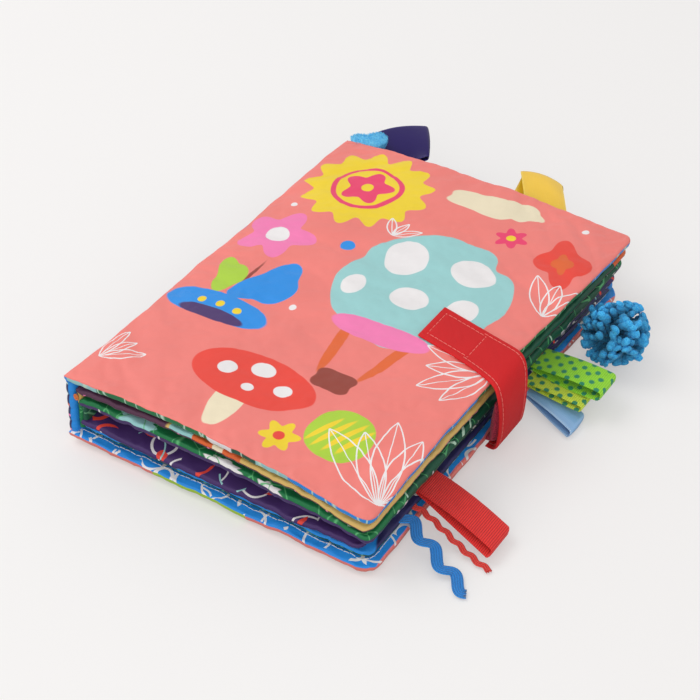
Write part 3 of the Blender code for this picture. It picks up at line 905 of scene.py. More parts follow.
# For each layer, how much its upper and its lower cloth bulge beside the seam, and how far the upper
# cloth turns down to it
edge_shapes = {
    "back_cover": (0.3, 1.3, 0.8),
    "leaf_4": (0, 0.2, 1.2),
    "leaf_3": (0, 0.3, 1.2),
    "leaf_2": (0, 2.4, 1.6),
    "leaf_1": (0, 0.4, 1.6),
    "front_cover": (0.2, 2.2, 0.7),
}
turned_ripples = {
    "back_cover": ripples[::-1, ::-1],
    "leaf_4": -ripples[::-1],
    "leaf_3": ripples[:, ::-1],
    "leaf_2": -ripples[::-1, ::-1],
    "leaf_1": ripples[::-1],
    "front_cover": ripples,
}


def edge_distance(layer, x, y):
    """How far a place lies inside a panel's outline, whose fore-edge corners are round."""
    spine_edge, fore_edge, far_edge = outline(layer)
    corner_x, corner_y = corner_of(layer)
    radius = fore_edge - corner_x
    out_x, out_y = x - corner_x, np.abs(y) - corner_y
    round_corner = radius - np.hypot(np.maximum(out_x, 0), np.maximum(out_y, 0))
    straight = np.minimum(fore_edge - x, far_edge - np.abs(y))
    inside = np.where((out_x > 0) & (out_y > 0), round_corner, straight)
    return np.minimum(inside, x - spine_edge)


def eased(value):
    """A smooth step from 0 to 1."""
    share = np.clip(value, 0, 1)
    return share * share * (3 - 2 * share)


def droop(layer, x, y):
    """How far a layer droops at a place of its near edge or fore-edge; nothing in its middle."""
    at_spine, in_middle, at_corner, at_fore_edge = droops[layer]
    across, along = np.clip(x / half_width, -1, 1), np.clip(y / half_height, -1, 1)
    there = at_spine * across * (across - 1) / 2 + in_middle * (1 - across**2)
    there = there + at_corner * across * (across + 1) / 2
    near = eased((-along - 0.5) / 0.5)
    beside = at_fore_edge * eased((across - 0.5) / 0.5) * eased((1 - along) / 0.4)
    return (there * near + beside * (1 - near)) * (1 - (1 - across**4) * (1 - along**4))


def panel_point(layer, x, y, side, proud=0.0):
    """Points of a panel's surface, at side 1 or -1, proud of it by so much."""
    spine_edge, fore_edge, far_edge = outline(layer)
    inside = np.maximum(edge_distance(layer, x, y), 0)
    fade = np.exp(-((inside / edge_wander_depth) ** 2))
    seed = 10 * layer_names.index(layer)
    lengths, heights = (61, 34, 17, 9.3, 5.1), (0.3, 0.22, 0.12, 0.07, 0.05)
    wander = waves(x + 0.6 * y, lengths, heights, seed) * fade
    ripple = read_field(turned_ripples[layer], x, y)
    common = read_field(ripples, x, y)
    shared = 1 - np.exp(-((inside / common_depth) ** 2))
    z = level(layer, x, y, side) + common * shared + ripple * (1 - shared) + wander * 0.9
    upper_bulge, lower_bulge, upper_turn = edge_shapes[layer]
    bulge = upper_bulge if side > 0 else lower_bulge
    turn = upper_turn if side > 0 else seam_thickness + upper_bulge + lower_bulge - upper_turn
    roll = np.clip(1 - inside / (0.4 + 0.5 * turn), 0, 1)
    z = z + droop(layer, x, y) + side * (proud + bulge * np.exp(-((inside / bulge_depth) ** 2)))
    z = z - side * turn * (1 - np.sqrt(1 - roll**2))
    if layer == "back_cover":
        z = np.maximum(z, 0.12 if side < 0 else 2.0)
    out = waves(x - 0.4 * y, (43, 21, 11, 6.3), (0.22, 0.13, 0.1, 0.08), seed + 5) * fade
    off_x, off_y = lie(layer, x, y)
    from_middle = np.stack([x / half_width, y / half_height], axis=-1) ** 5
    return np.stack(
        [x + off_x + out * from_middle[..., 0], y + off_y + out * from_middle[..., 1], z], axis=-1
    )


def panel_lines(low, high, step):
    """Lines across a panel: even inside, close together where the cloth turns into the seam."""
    near_edge = np.array([0, 0.15, 0.4, 0.75, 1.15, 1.6, 2.3, 3.2])
    inner = np.linspace(low + 4.4, high - 4.4, max(2, round((high - low) / step)))
    return np.concatenate([low + near_edge, inner, high - near_edge[::-1]])


def panel_cloth(name, layer, side, step, finish):
    """One cloth of a padded panel, with its edge turned down and tucked into the seam."""
    spine_edge, fore_edge, far_edge = outline(layer)
    xs = panel_lines(spine_edge, fore_edge, step)
    ys = panel_lines(-far_edge, far_edge, step)
    x, y = np.meshgrid(xs, ys)
    corner_x, corner_y = corner_of(layer)
    out_x, out_y = (x - corner_x) / (fore_edge - corner_x), (np.abs(y) - corner_y) / (far_edge - corner_y)
    corner = (out_x > 0) & (out_y > 0)
    pull = np.where(corner, np.maximum(out_x, out_y) / np.maximum(np.hypot(out_x, out_y), 1e-9), 1)
    x = np.where(corner, corner_x + (x - corner_x) * pull, x)
    y = np.where(corner, np.sign(y) * (corner_y + (np.abs(y) - corner_y) * pull), y)
    points = panel_point(layer, x, y, side)
    tucked = np.pad(points, ((1, 1), (1, 1), (0, 0)), mode="edge")
    rim = np.ones(tucked.shape[:2], bool)
    rim[1:-1, 1:-1] = False
    inward = -np.sign(tucked[..., :2]) * seam_tuck
    near_rim_x = np.abs(tucked[..., 0]) > abs(fore_edge) - 12
    near_rim_y = np.abs(tucked[..., 1]) > abs(far_edge) - 12
    inward = inward * np.stack([near_rim_x, near_rim_y], axis=-1)
    tucked[rim, :2] += inward[rim]
    flat = np.pad(np.stack([x, y], axis=-1), ((1, 1), (1, 1), (0, 0)), mode="edge")
    mesh = grid_mesh(name, tucked, flat, flip=side < 0)
    obj = piece(name, mesh, finish)
    wall = obj.modifiers.new("cloth", "SOLIDIFY")
    wall.thickness = 0.35 * mm
    wall.offset = -1
    return obj


cover_step = 1.5
leaf_step = 2.2
panel_prints = {
    "front_cover": (front_print, front_lining_print),
    "leaf_1": (field_print, mauve_print),
    "leaf_2": (meadow_print, dusk_print),
    "leaf_3": (night_print, dusk_print),
    "leaf_4": (pond_print, forest_print),
    "back_cover": (back_lining_print, back_print),
}
panel_slots = {
    "front_cover": ("cover_cotton", "lining_cotton"),
    "leaf_1": ("tan_cotton", "purple_cotton"),
    "leaf_2": ("green_cotton", "purple_cotton"),
    "leaf_3": ("purple_cotton", "purple_cotton"),
    "leaf_4": ("purple_cotton", "green_cotton"),
    "back_cover": ("lining_cotton", "cover_cotton"),
}
for layer in layer_names:
    step = cover_step if layer == "front_cover" else leaf_step
    for side, finish, slot in zip((1, -1), panel_prints[layer], panel_slots[layer]):
        if "cover" in layer:
            outside = (layer == "front_cover") == (side > 0)
            node = layer + ("_cloth" if outside else "_lining")
            nodes = [node, layer + ("_crinkle_film" if outside else "_wadding")]
        else:
            nodes = [layer + ("_upper_cloth" if side > 0 else "_lower_cloth")]
            nodes += [layer + "_crinkle_film"] if side > 0 else []
        cloth = panel_cloth(nodes[0] + "_dressed", layer, side, step, finish)
        seat(cloth, layer, slot, *nodes)

# %% [markdown]
# The spine is a quilted wall: navy print outside, blue lining inside, sewn across at every leaf so
# that it can bend there. Each strip of it reaches from the middle of one channel to the middle of the
# next, across the crease between them. The wall bellies out in each channel and is
# drawn in at the creases, so five strips from one function look like one wall.

# %% The quilted spine
crease_levels = {
    "leaf_4": 6.37,
    "leaf_3": 12.41,
    "leaf_2": 20.38,
    "leaf_1": 28.07,
    "front_cover": 34.67,
}
crease_list = list(crease_levels.values())
channel_height = 5.2
spine_outer, spine_inner = 82.45, 78.7
outer_belly, inner_belly, end_belly = 0.4, 0.5, 0.6
spine_end_round = 2.2
crease_half = 1.3


def belly(z):
    """How full a channel of the spine is at a height: 0 at a crease and 1 between two."""
    creases = [crease_list[0] - channel_height] + crease_list + [crease_list[-1] + channel_height]
    place = np.interp(z, creases, range(len(creases)))
    return np.abs(np.sin(np.pi * place)) ** 0.45


def lean(z, y):
    """How far the spine leans at a height, so that it stays sewn to covers that lie askew."""
    low, high = seam_height("back_cover"), seam_height("front_cover")
    share = np.clip((z - low) / (high - low), 0, 1)
    off_x, off_y = lie("front_cover", -half_width + 0 * y, y)
    return off_x * share, off_y * share


def spine_strip(name, z_low, z_high, outer, inner, fullness, end, finishes, outside_part=True):
    """A strip of wall along the spine, closed all round, from one height to another."""
    steps = max(6, round((z_high - z_low) / 0.6))
    up = np.linspace(z_low, z_high, steps)
    zs = np.concatenate([up, up[::-1]])
    face = np.concatenate([np.ones(steps), -np.ones(steps)])
    full = belly(zs)
    middle = -(outer + inner) / 2
    half = (outer - inner) / 2 + fullness * np.where(face > 0, outer_belly, inner_belly) * full
    near = np.array([0, 0.1, 0.3, 0.6, 1.0, 1.5, spine_end_round])
    inside = np.linspace(-end + 4, end - 4, 110)
    ys = np.concatenate([-end + near, inside, end - near[::-1]])
    round_share = np.clip((spine_end_round - (end - np.abs(ys))) / spine_end_round, 0, 1)
    thick = np.maximum((1 - round_share**2.6) ** (1 / 2.6), 0.05)
    along = waves(ys, (23, 14, 8.3), (0.25, 0.16, 0.1), 17)
    y = np.sign(ys)[:, None] * (np.abs(ys)[:, None] - end_belly * (1 - full)[None, :] * fullness)
    x = middle - face * half * thick[:, None] + along[:, None] * full * 0.8
    z = zs + 0 * y
    off_x, off_y = lean(z, y)
    points = np.stack([x + off_x, y + off_y, z], axis=-1)
    around = np.concatenate([up, z_high + outer - inner + z_high - up[::-1]])
    around = np.append(around, around[-1] + outer - inner)
    flat = np.stack(np.meshgrid(around, ys), axis=-1)[..., ::-1]
    mesh = grid_mesh(name, points, flat, wrap=True, caps=True)
    obj = piece(name, mesh, *finishes, angle=50)
    columns = len(zs)
    for number_of_face, polygon in enumerate(mesh.polygons):
        row, column = divmod(number_of_face, columns)
        outside = column < steps - 1 and row < len(ys) - 1
        polygon.material_index = 0 if outside and outside_part else len(finishes) - 1
    return obj


spine_print = printed_cloth(
    "spine_print",
    navy,
    (),
    [
        ("scribble", orange, 9, 0.6, 3),
        ("scribble", teal, 11, 0.6, 31),
        ("scribble", candy_pink, 10, 0.5, 57),
    ],
)
spine_lining = printed_cloth("spine_lining", sky)
channel_middles = [(low + high) / 2 for low, high in zip(crease_list, crease_list[1:])]
strip_ends = [seam_height("back_cover") + 0.4] + channel_middles + [seam_height("front_cover") - 0.3]
spine_bodies = ["back_cover", "leaf_4", "leaf_3", "leaf_2", "leaf_1", "front_cover"]
for i, crease in enumerate(crease_list):
    strip = spine_strip(
        f"spine_strip_{i + 1}", strip_ends[i], strip_ends[i + 1], spine_outer, spine_inner, 1,
        half_height - 0.2, (spine_print, spine_lining),
    )
    nodes = [] if i == 4 else [f"spine_channel_{4 - i}", f"spine_padding_{4 - i}"]
    start, end = (-half_width, 0, crease - crease_half), (-half_width, 0, crease + crease_half)
    seat_across(strip, spine_bodies[i], spine_bodies[i + 1], start, end, "spine_cotton", *nodes)

# %% [markdown]
# The four leaves are really two long strips folded in two, one inside the other, like the sheets of
# a paper booklet. The folds show at the ends of the spine as two nested walls, each cut at the same
# heights as the spine.

# %% The folds of the leaves
fold_thickness = 2.3
outer_fold = -leaf_low.x - 0.1
inner_fold = outer_fold - inner_fold_inset
fold_end = leaf_high.y - 0.5
low_cut, high_cut = channel_middles[1:3]
# Each wall's name, its two heights, its outer face, its crease, its finish and its slot
fold_plan = [
    ("outer_fold_low", seam_height("leaf_4"), low_cut, outer_fold, 1, meadow_print, "green_cotton"),
    ("outer_fold_middle", low_cut, high_cut, outer_fold, 2, meadow_print, "green_cotton"),
    ("outer_fold_high", high_cut, seam_height("leaf_1"), outer_fold, 3, field_print, "tan_cotton"),
    (
        "inner_fold", seam_height("leaf_3"), seam_height("leaf_2"), inner_fold, 2, forest_print,
        "green_cotton",
    ),
]
for name, z_low, z_high, outer, crease_number, finish, slot in fold_plan:
    strip = spine_strip(
        name, z_low, z_high, outer, outer - fold_thickness, 0.25, fold_end, (finish,), outside_part=False
    )
    crease = crease_list[crease_number]
    start, end = (-outer, 0, crease - crease_half), (-outer, 0, crease + crease_half)
    seat_across(strip, spine_bodies[crease_number], spine_bodies[crease_number + 1], start, end, slot)

# %% [markdown]
# Bands such as the strap and the ribbons are one cross section drawn along a line. This helper takes
# the line, evenly stepped, and the section's height across, and closes the band all round. The
# section may change along the line, which gives ribs, stitch dips and tapered ends.

# %% Bands along a line


def even_line(points, step):
    """The same line with evenly spaced points, and the length along it."""
    points = np.asarray(points, float)
    lengths = np.concatenate([[0], np.cumsum(np.linalg.norm(np.diff(points, axis=0), axis=1))])
    along = np.linspace(0, lengths[-1], max(2, round(lengths[-1] / step)) + 1)
    even = np.stack([np.interp(along, lengths, points[:, i]) for i in range(points.shape[1])], axis=1)
    return even, along


def unit(vectors):
    """Vectors of length 1."""
    return vectors / np.maximum(np.linalg.norm(vectors, axis=-1, keepdims=True), 1e-9)


def smooth_line(line, passes):
    """The line with its corners eased, and its ends kept."""
    for _ in range(passes):
        line = np.concatenate([line[:1], (line[:-2] + 2 * line[1:-1] + line[2:]) / 4, line[-1:]])
    return line


def band_mesh(name, line, along, side, half_width_here, half_thickness, columns=13, puff=0):
    """A closed band. Half_thickness takes the length along and the place across, and gives mm.
    Puff is how far the band's middle stands out from its edges."""
    ahead = unit(np.gradient(line, axis=0))
    side = np.broadcast_to(side, line.shape)
    up = unit(np.cross(ahead, side))
    across = np.sin(np.linspace(-np.pi / 2, np.pi / 2, columns)) * 0.35 + np.linspace(-1, 1, columns) * 0.65
    place = across[None, :] * np.broadcast_to(half_width_here, len(line))[:, None]
    high = half_thickness(along[:, None] + 0 * place, place)[..., None] * up[:, None]
    cup = puff * (1 - across**2)[None, :, None] * up[:, None]
    base = line[:, None] + side[:, None] * place[..., None] + cup
    over, under = base + high, base - high
    points = np.concatenate([over, under[:, ::-1]], axis=1)
    flat_over = np.stack([along[:, None] + 0 * place, place], axis=-1)
    flat = np.concatenate([flat_over, flat_over[:, ::-1], flat_over[:, :1]], axis=1)
    return grid_mesh(name, points, flat, wrap=True, caps=True)


# %% [markdown]
# Threads are real little arches that sit on the cloth. A Geometry Nodes tree walks along a line,
# puts a stitch at every step and turns it by the line's direction and by the cloth's own up
# direction, which each point of the line carries with it. The same tree sews every seam here.

# %% The stitch tree
stitches, put, get = group_tree(
    "stitch_row",
    "GeometryNodeTree",
    {
        "Line": ("NodeSocketGeometry", None),
        "Pitch": (number, 2.6 * mm),
        "Length": (number, 2.1 * mm),
        "Thread": (number, 0.2 * mm),
        "Arch": (number, 0.35 * mm),
        "Finish": ("NodeSocketMaterial", None),
    },
    {"Stitches": "NodeSocketGeometry"},
)
route = add(stitches, "GeometryNodeMeshToCurve", {"Mesh": put["Line"]})
steps = {"Curve": route.outputs[0], "Length": put["Pitch"]}
stepped = add(stitches, "GeometryNodeResampleCurve", steps, mode="LENGTH")
half_length = math_of(stitches, "MULTIPLY", put["Length"], 0.5)
start = add(stitches, "ShaderNodeCombineXYZ", {"X": math_of(stitches, "MULTIPLY", half_length, -1.0)})
top = add(stitches, "ShaderNodeCombineXYZ", {"Z": put["Arch"]})
end = add(stitches, "ShaderNodeCombineXYZ", {"X": half_length})
arch = add(
    stitches,
    "GeometryNodeCurveQuadraticBezier",
    {"Resolution": 4, "Start": start.outputs[0], "Middle": top.outputs[0], "End": end.outputs[0]},
)
round_thread = add(stitches, "GeometryNodeCurvePrimitiveCircle", {"Resolution": 5, "Radius": put["Thread"]})
thread_piece = add(
    stitches,
    "GeometryNodeCurveToMesh",
    {"Curve": arch.outputs[0], "Profile Curve": round_thread.outputs[0], "Fill Caps": True},
)
cloth_up = add(stitches, "GeometryNodeInputNamedAttribute", {"Name": "cloth_up"}, data_type="FLOAT_VECTOR")
ahead = add(stitches, "GeometryNodeInputTangent")
turn = add(
    stitches,
    "FunctionNodeAxesToRotation",
    {"Primary Axis": cloth_up.outputs[0], "Secondary Axis": ahead.outputs[0]},
    primary_axis="Z",
    secondary_axis="X",
)
placed = add(
    stitches,
    "GeometryNodeInstanceOnPoints",
    {"Points": stepped.outputs[0], "Instance": thread_piece.outputs[0], "Rotation": turn.outputs[0]},
)
real = add(stitches, "GeometryNodeRealizeInstances", {"Geometry": placed.outputs[0]})


def end_tree(tree, geometry, put, get):
    """Gives a tree's geometry its finish and hands it out."""
    coloured = {"Geometry": geometry.outputs[0], "Material": put["Finish"]}
    tree.links.new(add(tree, "GeometryNodeSetMaterial", coloured).outputs[0], get[0])


end_tree(stitches, real, put, get)


def grow(obj, tree, **values):
    """Runs a geometry tree on an object with these inputs and keeps the result as a plain mesh."""
    modifier = obj.modifiers.new(tree.name, "NODES")
    modifier.node_group = tree
    for socket in tree.interface.items_tree:
        if socket.in_out == "INPUT" and socket.name in values:
            modifier[socket.identifier] = values[socket.name]
    shown = obj.evaluated_get(bpy.context.evaluated_depsgraph_get())
    grown = bpy.data.meshes.new_from_object(shown)
    obj.modifiers.remove(modifier)
    grown.name = obj.name
    obj.data = grown
    print(obj.name, len(grown.polygons), "faces grown by", tree.name)
    return obj


def sew(name, lines, finish, **values):
    """Rows of stitches along lines. A line is its points and the cloth's up direction at each, in mm."""
    points, ups, edges = [], [], []
    for line, up in lines:
        first = len(points)
        points += (np.asarray(line) * mm).tolist()
        ups += np.asarray(up).tolist()
        edges += [(i, i + 1) for i in range(first, len(points) - 1)]
    mesh = bpy.data.meshes.new(name)
    mesh.from_pydata(points, edges, [])
    carried = mesh.attributes.new("cloth_up", "FLOAT_VECTOR", "POINT")
    carried.data.foreach_set("vector", np.ravel(ups))
    obj = bpy.data.objects.new(name, mesh)
    scene.collection.objects.link(obj)
    grow(obj, stitches, Finish=finish, **values)
    obj.data.shade_smooth()
    return obj


def thread_finish(name, colour):
    """Twisted sewing thread."""
    made, tree, shader, place = finish_tree(name, 0.5, sheen=0.3, object_space=True)
    set_colour(tree, shader, mottled(tree, place, colour, 0.12, 0.8))
    twist = add(tree, "ShaderNodeTexNoise", {"Vector": place, "Scale": 4.0, "Detail": 2.0})
    bump(tree, shader, twist.outputs[0], 0.06)
    return made


red_thread = thread_finish("red_thread", srgb(240, 120, 110))
white_thread = thread_finish("white_thread", srgb(232, 232, 238))
orange_thread = thread_finish("orange_thread", srgb(232, 120, 20))

# %% [markdown]
# A line of white stitches runs round the back cover, a little inside its edge. It is sewn through
# both cloths, so it is laid on the lining and again on the underside.

# %% Stitching round the back cover
stitch_inset = 4.2
spine_start = -half_width + 6
back_edge, back_end = half_width - stitch_inset, half_height - stitch_inset
bend = corner_insets["back_cover"] - stitch_inset + 1
arc = np.linspace(0, np.pi / 2, 7)
quarter = np.stack([back_edge - bend + bend * np.cos(arc), back_end - bend + bend * np.sin(arc)], axis=1)
way_round = np.concatenate([[[spine_start, back_end]], quarter[::-1]])
way_round = np.concatenate([way_round, way_round[::-1] * (1, -1)])
way_round, _ = even_line(way_round, 2)
rows = []
for side in (1, -1):
    x, y = way_round.T
    here = panel_point("back_cover", x, y, side, 0.05)
    slope_x = panel_point("back_cover", x + 0.5, y, side) - panel_point("back_cover", x - 0.5, y, side)
    slope_y = panel_point("back_cover", x, y + 0.5, side) - panel_point("back_cover", x, y - 0.5, side)
    rows.append((here, unit(np.cross(slope_x, slope_y)) * side))
cover_stitches = sew(
    "back_cover_stitching", rows, white_thread, Pitch=3.1 * mm, Length=2.7 * mm, Arch=0.4 * mm
)
seat(cover_stitches, "back_cover", "thread")

# %% [markdown]
# The leaves are tied in by hand at the ends of their fold, and the knot's orange thread shows there.
# It is a few stitches on top of each other, laid by the same tree.

# %% The knot at the fold
knot_place = (-76.9, -fold_end - 0.3, 28.2)
turns = np.radians(np.linspace(0, 300, 12))
knot_lines = []
for size in (0.7, 1.2, 1.6):
    sideways, out, up = np.cos(turns + size) * 0.7, 0 * turns - 0.1, np.sin(turns + size)
    ring = size * np.stack([sideways, out, up], axis=1)
    knot_lines.append((ring + knot_place, np.tile([0.0, -1.0, 0.0], (len(turns), 1))))
knot = sew("knot", knot_lines, orange_thread, Pitch=1.1 * mm, Length=1.5 * mm, Thread=0.24 * mm)
seat(knot, "leaf_2", "thread")

# %% [markdown]
# The strap is a flat tube of red cotton. One end is sewn to the front cover with a box of stitches,
# and the rest bends round the fore-edge. It is one band, with no cut where it bends. Rows of stitches
# pinch it near both edges.

# %% The strap's line
strap_half_width = 12.1
strap_spread = 1.3
hem_width = 2.5
strap_half_thickness = 0.85
strap_lap = 45
strap_slant = 0.2
strap_drift = 0.05
strap_shift = 8.43
strap_swing_out = 0.6
strap_floor = 4.2
strap_edge = 81.2
strap_bulge = 8.2
strap_tuck = 1.6
strap_end_angle = -87


def strap_arc(bottom, top=90, inward=0.0, steps=60):
    """The strap's way round the fore-edge, as its place out and up."""
    high = float(level("front_cover", half_width, 0, 1)) + gap + 0.8
    centre, half = (high + strap_floor) / 2, (high - strap_floor) / 2 - inward
    angle = np.radians(np.linspace(top, bottom, steps))
    out = (strap_bulge - inward) * np.maximum(np.cos(angle), 0) ** 0.75
    out = out - strap_tuck * np.clip((-np.degrees(angle) - 50) / 37, 0, 1) ** 2
    up = half * np.sign(np.sin(angle)) * np.abs(np.sin(angle)) ** 0.9
    return np.stack([strap_edge + out, centre + up], axis=1)


def strap_row(flat_line):
    """Places a line of the strap in the book: it slants to the near side as it runs out, more so in
    the open air beyond the fore-edge."""
    x, z = np.asarray(flat_line).T
    swing = strap_swing_out * np.maximum(x - strap_edge - 2, 0)
    return np.stack([x, -strap_slant * x + strap_drift * z + strap_shift - swing, z], axis=1)


lap_x = np.linspace(half_width - strap_lap, strap_edge, 40)
lap_z = level("front_cover", lap_x, -5 + 0 * lap_x, 1) + gap + strap_half_thickness
strap_line, strap_along = even_line(
    strap_row(np.concatenate([np.stack([lap_x, lap_z], axis=1), strap_arc(strap_end_angle)[1:]])), 0.7
)
strap_line = smooth_line(strap_line, 30)
strap_length = strap_along[-1]
across_way = np.array([0.0, 1.0, 0.0])
box_place = (3.6, 27.5)
box_half = 8.4


def strap_half_at(along):
    """Half the strap's width: it spreads a little where it bends over the fore-edge."""
    return strap_half_width + strap_spread * np.exp(-(((along - strap_lap - 4) / 13) ** 2))


def pinch(distance, width=0.55):
    """A dip that a row of stitches presses into cloth."""
    return np.exp(-((distance / width) ** 2))


def strap_height_at(along, place):
    """Half the strap's thickness: full edges, pressed in along its stitches, closed at its ends."""
    edge = np.abs(place)
    half = strap_half_at(along)
    hem = edge - half + hem_width
    height = strap_half_thickness * (1 - np.clip(edge / half, 0, 1) ** 10) ** 0.5
    height = height + 0.14 * np.sin(np.pi * np.clip(hem / hem_width, 0, 1)) - 0.3 * pinch(hem)
    in_box = (edge < box_half + 0.3) & (along < box_place[1] + 1)
    height = height - 0.3 * pinch(edge - box_half) * (along < box_place[1] + 0.5) * (along > 3)
    for row in box_place:
        height = height - 0.3 * pinch(along - row) * in_box
    height = height + 0.05 * waves(along + place, (9.1, 5.3, 3.1), (0.5, 0.4, 0.3), 8)
    end = np.minimum(along, strap_length - along)
    closing = np.sqrt(np.clip(1 - (1 - np.clip(end / 0.9, 0, 1)) ** 2, 0.01, 1))
    return np.maximum(height, 0.1) * closing


def woven_finish(name, colour, pitch, dark=0.72, roughness=0.7, relief=0.12):
    """Woven cotton or tape whose threads show, with painted shading between them."""
    made, tree, shader, place = finish_tree(name, roughness, sheen=0.03, specular=0.25)
    threads = use_group(tree, weave, Place=place, Pitch=pitch, Slack=0.15)["Height"]
    # Painted shade: the colour darkens in the hollows between the threads
    shadow = tuple(value * dark for value in colour[:3]) + (1,)
    set_colour(tree, shader, mottled(tree, place, mix_of(tree, threads, shadow, colour), 0.06))
    bump(tree, shader, threads, relief, 0.6)
    return made


strap_cotton = woven_finish("strap_cotton", srgb(228, 34, 38), 0.75)
strap_mesh = band_mesh(
    "strap", strap_line, strap_along, across_way, strap_half_at(strap_along), strap_height_at, 41
)
strap = piece("strap_dressed", strap_mesh, strap_cotton)
strap_hinge = ((80.5, -6, 41.6), (87.0, -6, 36.0))
seat_across(strap, "front_cover", "strap", *strap_hinge, "strap_webbing", "strap_sewn_end", "strap_band")

# %% Stitching on the strap


def strap_stitch_line(alongs, places, side=1):
    """A line on the strap's face, by the length along it and the place across."""
    alongs, places = np.broadcast_arrays(np.asarray(alongs, float), np.asarray(places, float))
    # Fuzzy things, such as plush, chenille and hook tape, are lumpy at two scales. This group mixes a coarse
    # and a fine noise, for bump and for the painted shade between the tufts.
    ahead = unit(np.gradient(strap_line, axis=0))
    up = unit(np.cross(ahead, across_way))
    centre = np.stack([np.interp(alongs, strap_along, strap_line[:, i]) for i in range(3)], axis=1)
    here_up = np.stack([np.interp(alongs, strap_along, up[:, i]) for i in range(3)], axis=1)
    height = strap_height_at(alongs, places)[:, None] + 0.02
    return centre + across_way * places[:, None] + side * here_up * height, side * here_up


long_run = np.arange(box_place[1] - 0.5, strap_length - 2, 1.0)
hem_line = strap_half_at(long_run) - hem_width
box_run = np.arange(box_place[0], box_place[1] + 0.5, 1.0)
box_cross = np.arange(-box_half, box_half + 0.5, 1.0)
outer_rows = [strap_stitch_line(long_run, share * hem_line, side) for share in (-1, 1) for side in (1, -1)]
outer_rows += [strap_stitch_line(box_run, place) for place in (-box_half, box_half)]
outer_rows += [strap_stitch_line(row, box_cross) for row in box_place]
strap_stitching = sew(
    "strap_stitching", outer_rows, red_thread, Pitch=2.5 * mm, Length=2.1 * mm, Thread=0.17 * mm
)
seat_across(strap_stitching, "front_cover", "strap", *strap_hinge, "thread")

# %% [markdown]
# Short fibres stand on the hook tape, the plush and the closure's patch. A second tree scatters
# slim cones over a surface, each leaning its own way, from a fixed seed.

# %% The nap tree
nap, put, get = group_tree(
    "nap",
    "GeometryNodeTree",
    {
        "Cloth": ("NodeSocketGeometry", None),
        "Density": (number, 1000000.0),
        "Length": (number, 0.8 * mm),
        "Thickness": (number, 0.15 * mm),
        "Lean": (number, 0.6),
        "Seed": ("NodeSocketInt", 3),
        "Finish": ("NodeSocketMaterial", None),
    },
    {"Napped": "NodeSocketGeometry"},
)
roots = add(
    nap,
    "GeometryNodeDistributePointsOnFaces",
    {"Mesh": put["Cloth"], "Density": put["Density"], "Seed": put["Seed"]},
    distribute_method="RANDOM",
)
fibre = add(
    nap,
    "GeometryNodeMeshCone",
    {"Vertices": 3, "Radius Bottom": put["Thickness"], "Radius Top": 0.01 * mm, "Depth": put["Length"]},
    fill_type="TRIANGLE_FAN",
)


def leaned(tree, put, rotation):
    """A root's rotation, leaned its own way by up to the tree's lean."""
    least = math_of(tree, "MULTIPLY", put["Lean"], -1.0)
    low_lean = add(tree, "ShaderNodeCombineXYZ", {"X": least, "Y": least})
    high_lean = add(tree, "ShaderNodeCombineXYZ", {"X": put["Lean"], "Y": put["Lean"]})
    limits = {0: low_lean.outputs[0], 1: high_lean.outputs[0], "Seed": put["Seed"]}
    leaning = add(tree, "FunctionNodeRandomValue", limits, data_type="FLOAT_VECTOR")
    tilt = add(tree, "FunctionNodeEulerToRotation", {0: leaning.outputs[0]})
    both = {0: rotation, 1: tilt.outputs[0]}
    return add(tree, "FunctionNodeRotateRotation", both, rotation_space="LOCAL").outputs[0]


turned_fibre = leaned(nap, put, roots.outputs["Rotation"])
standing = add(
    nap,
    "GeometryNodeInstanceOnPoints",
    {"Points": roots.outputs[0], "Instance": fibre.outputs[0], "Rotation": turned_fibre},
)
real = add(nap, "GeometryNodeRealizeInstances", {"Geometry": standing.outputs[0]})
joined = add(nap, "GeometryNodeJoinGeometry", {0: real.outputs[0]})
nap.links.new(put["Cloth"], joined.inputs[0])
end_tree(nap, joined, put, get)


def fuzzy_finish(name, colour, painted_shade, lump=1.0, sheen=0.6, ball=None):
    """Plush, chenille or hook tape: lumpy, with painted shading between its tufts and its own colour at
    their tips. A ball, given by its centre and radius in mm, also gets painted shading deep between its
    strands."""
    made, tree, shader, place = finish_tree(name, 0.85, sheen=sheen, specular=0.2, object_space=True)
    height = use_group(tree, fuzz, Place=place, Lump=lump)["Height"]
    share = add(
        tree, "ShaderNodeMapRange", {"Value": height, "From Min": 0.45, "From Max": 0.95},
        interpolation_type="SMOOTHSTEP",
    ).outputs[0]
    # Painted shade between the tufts; the tips keep the colour itself
    seen = mix_of(tree, share, painted_shade, colour)
    # Painted shade deep inside the ball, darker toward its centre
    if ball:
        centre, radius = ball
        ends = {0: place, 1: tuple(centre)}
        away = add(tree, "ShaderNodeVectorMath", ends, operation="DISTANCE").outputs["Value"]
        limits = {"From Min": radius * 0.62, "From Max": radius * 0.97, "To Min": 0.3, "To Max": 1.06}
        deep = add(tree, "ShaderNodeMapRange", {"Value": away, **limits}).outputs[0]
        seen = add(tree, "ShaderNodeHueSaturation", {"Value": deep, "Color": seen}).outputs[0]
    set_colour(tree, shader, seen)
    bump(tree, shader, height, 0.5 * lump, 0.7)
    return made


# %% The hook tape
hook_half_width = 11.2
hook_half_thickness = 1.1
hook_swell = 2.0
hook_tape = fuzzy_finish("hook_tape", srgb(206, 62, 86), srgb(120, 22, 44), 0.5, 0.15)
hook_shift = 0.9
tape_inward = strap_half_thickness + 0.1 + hook_half_thickness + hook_swell
tape_line, tape_along = even_line(strap_row(strap_arc(-86, 34, tape_inward)), 0.7)
tape_line[:, 1] -= hook_shift + 0.5 * (strap_half_at(tape_along + strap_lap + 10) - strap_half_width)


def tape_height(along, place):
    """Half the tape's thickness: its pile swells where nothing presses it, and closes at its edges."""
    swell = hook_swell * np.sin(np.pi * np.clip(along / tape_along[-1], 0, 1))
    return (hook_half_thickness + swell) * (1 - (np.abs(place) / hook_half_width) ** 12 * 0.9)


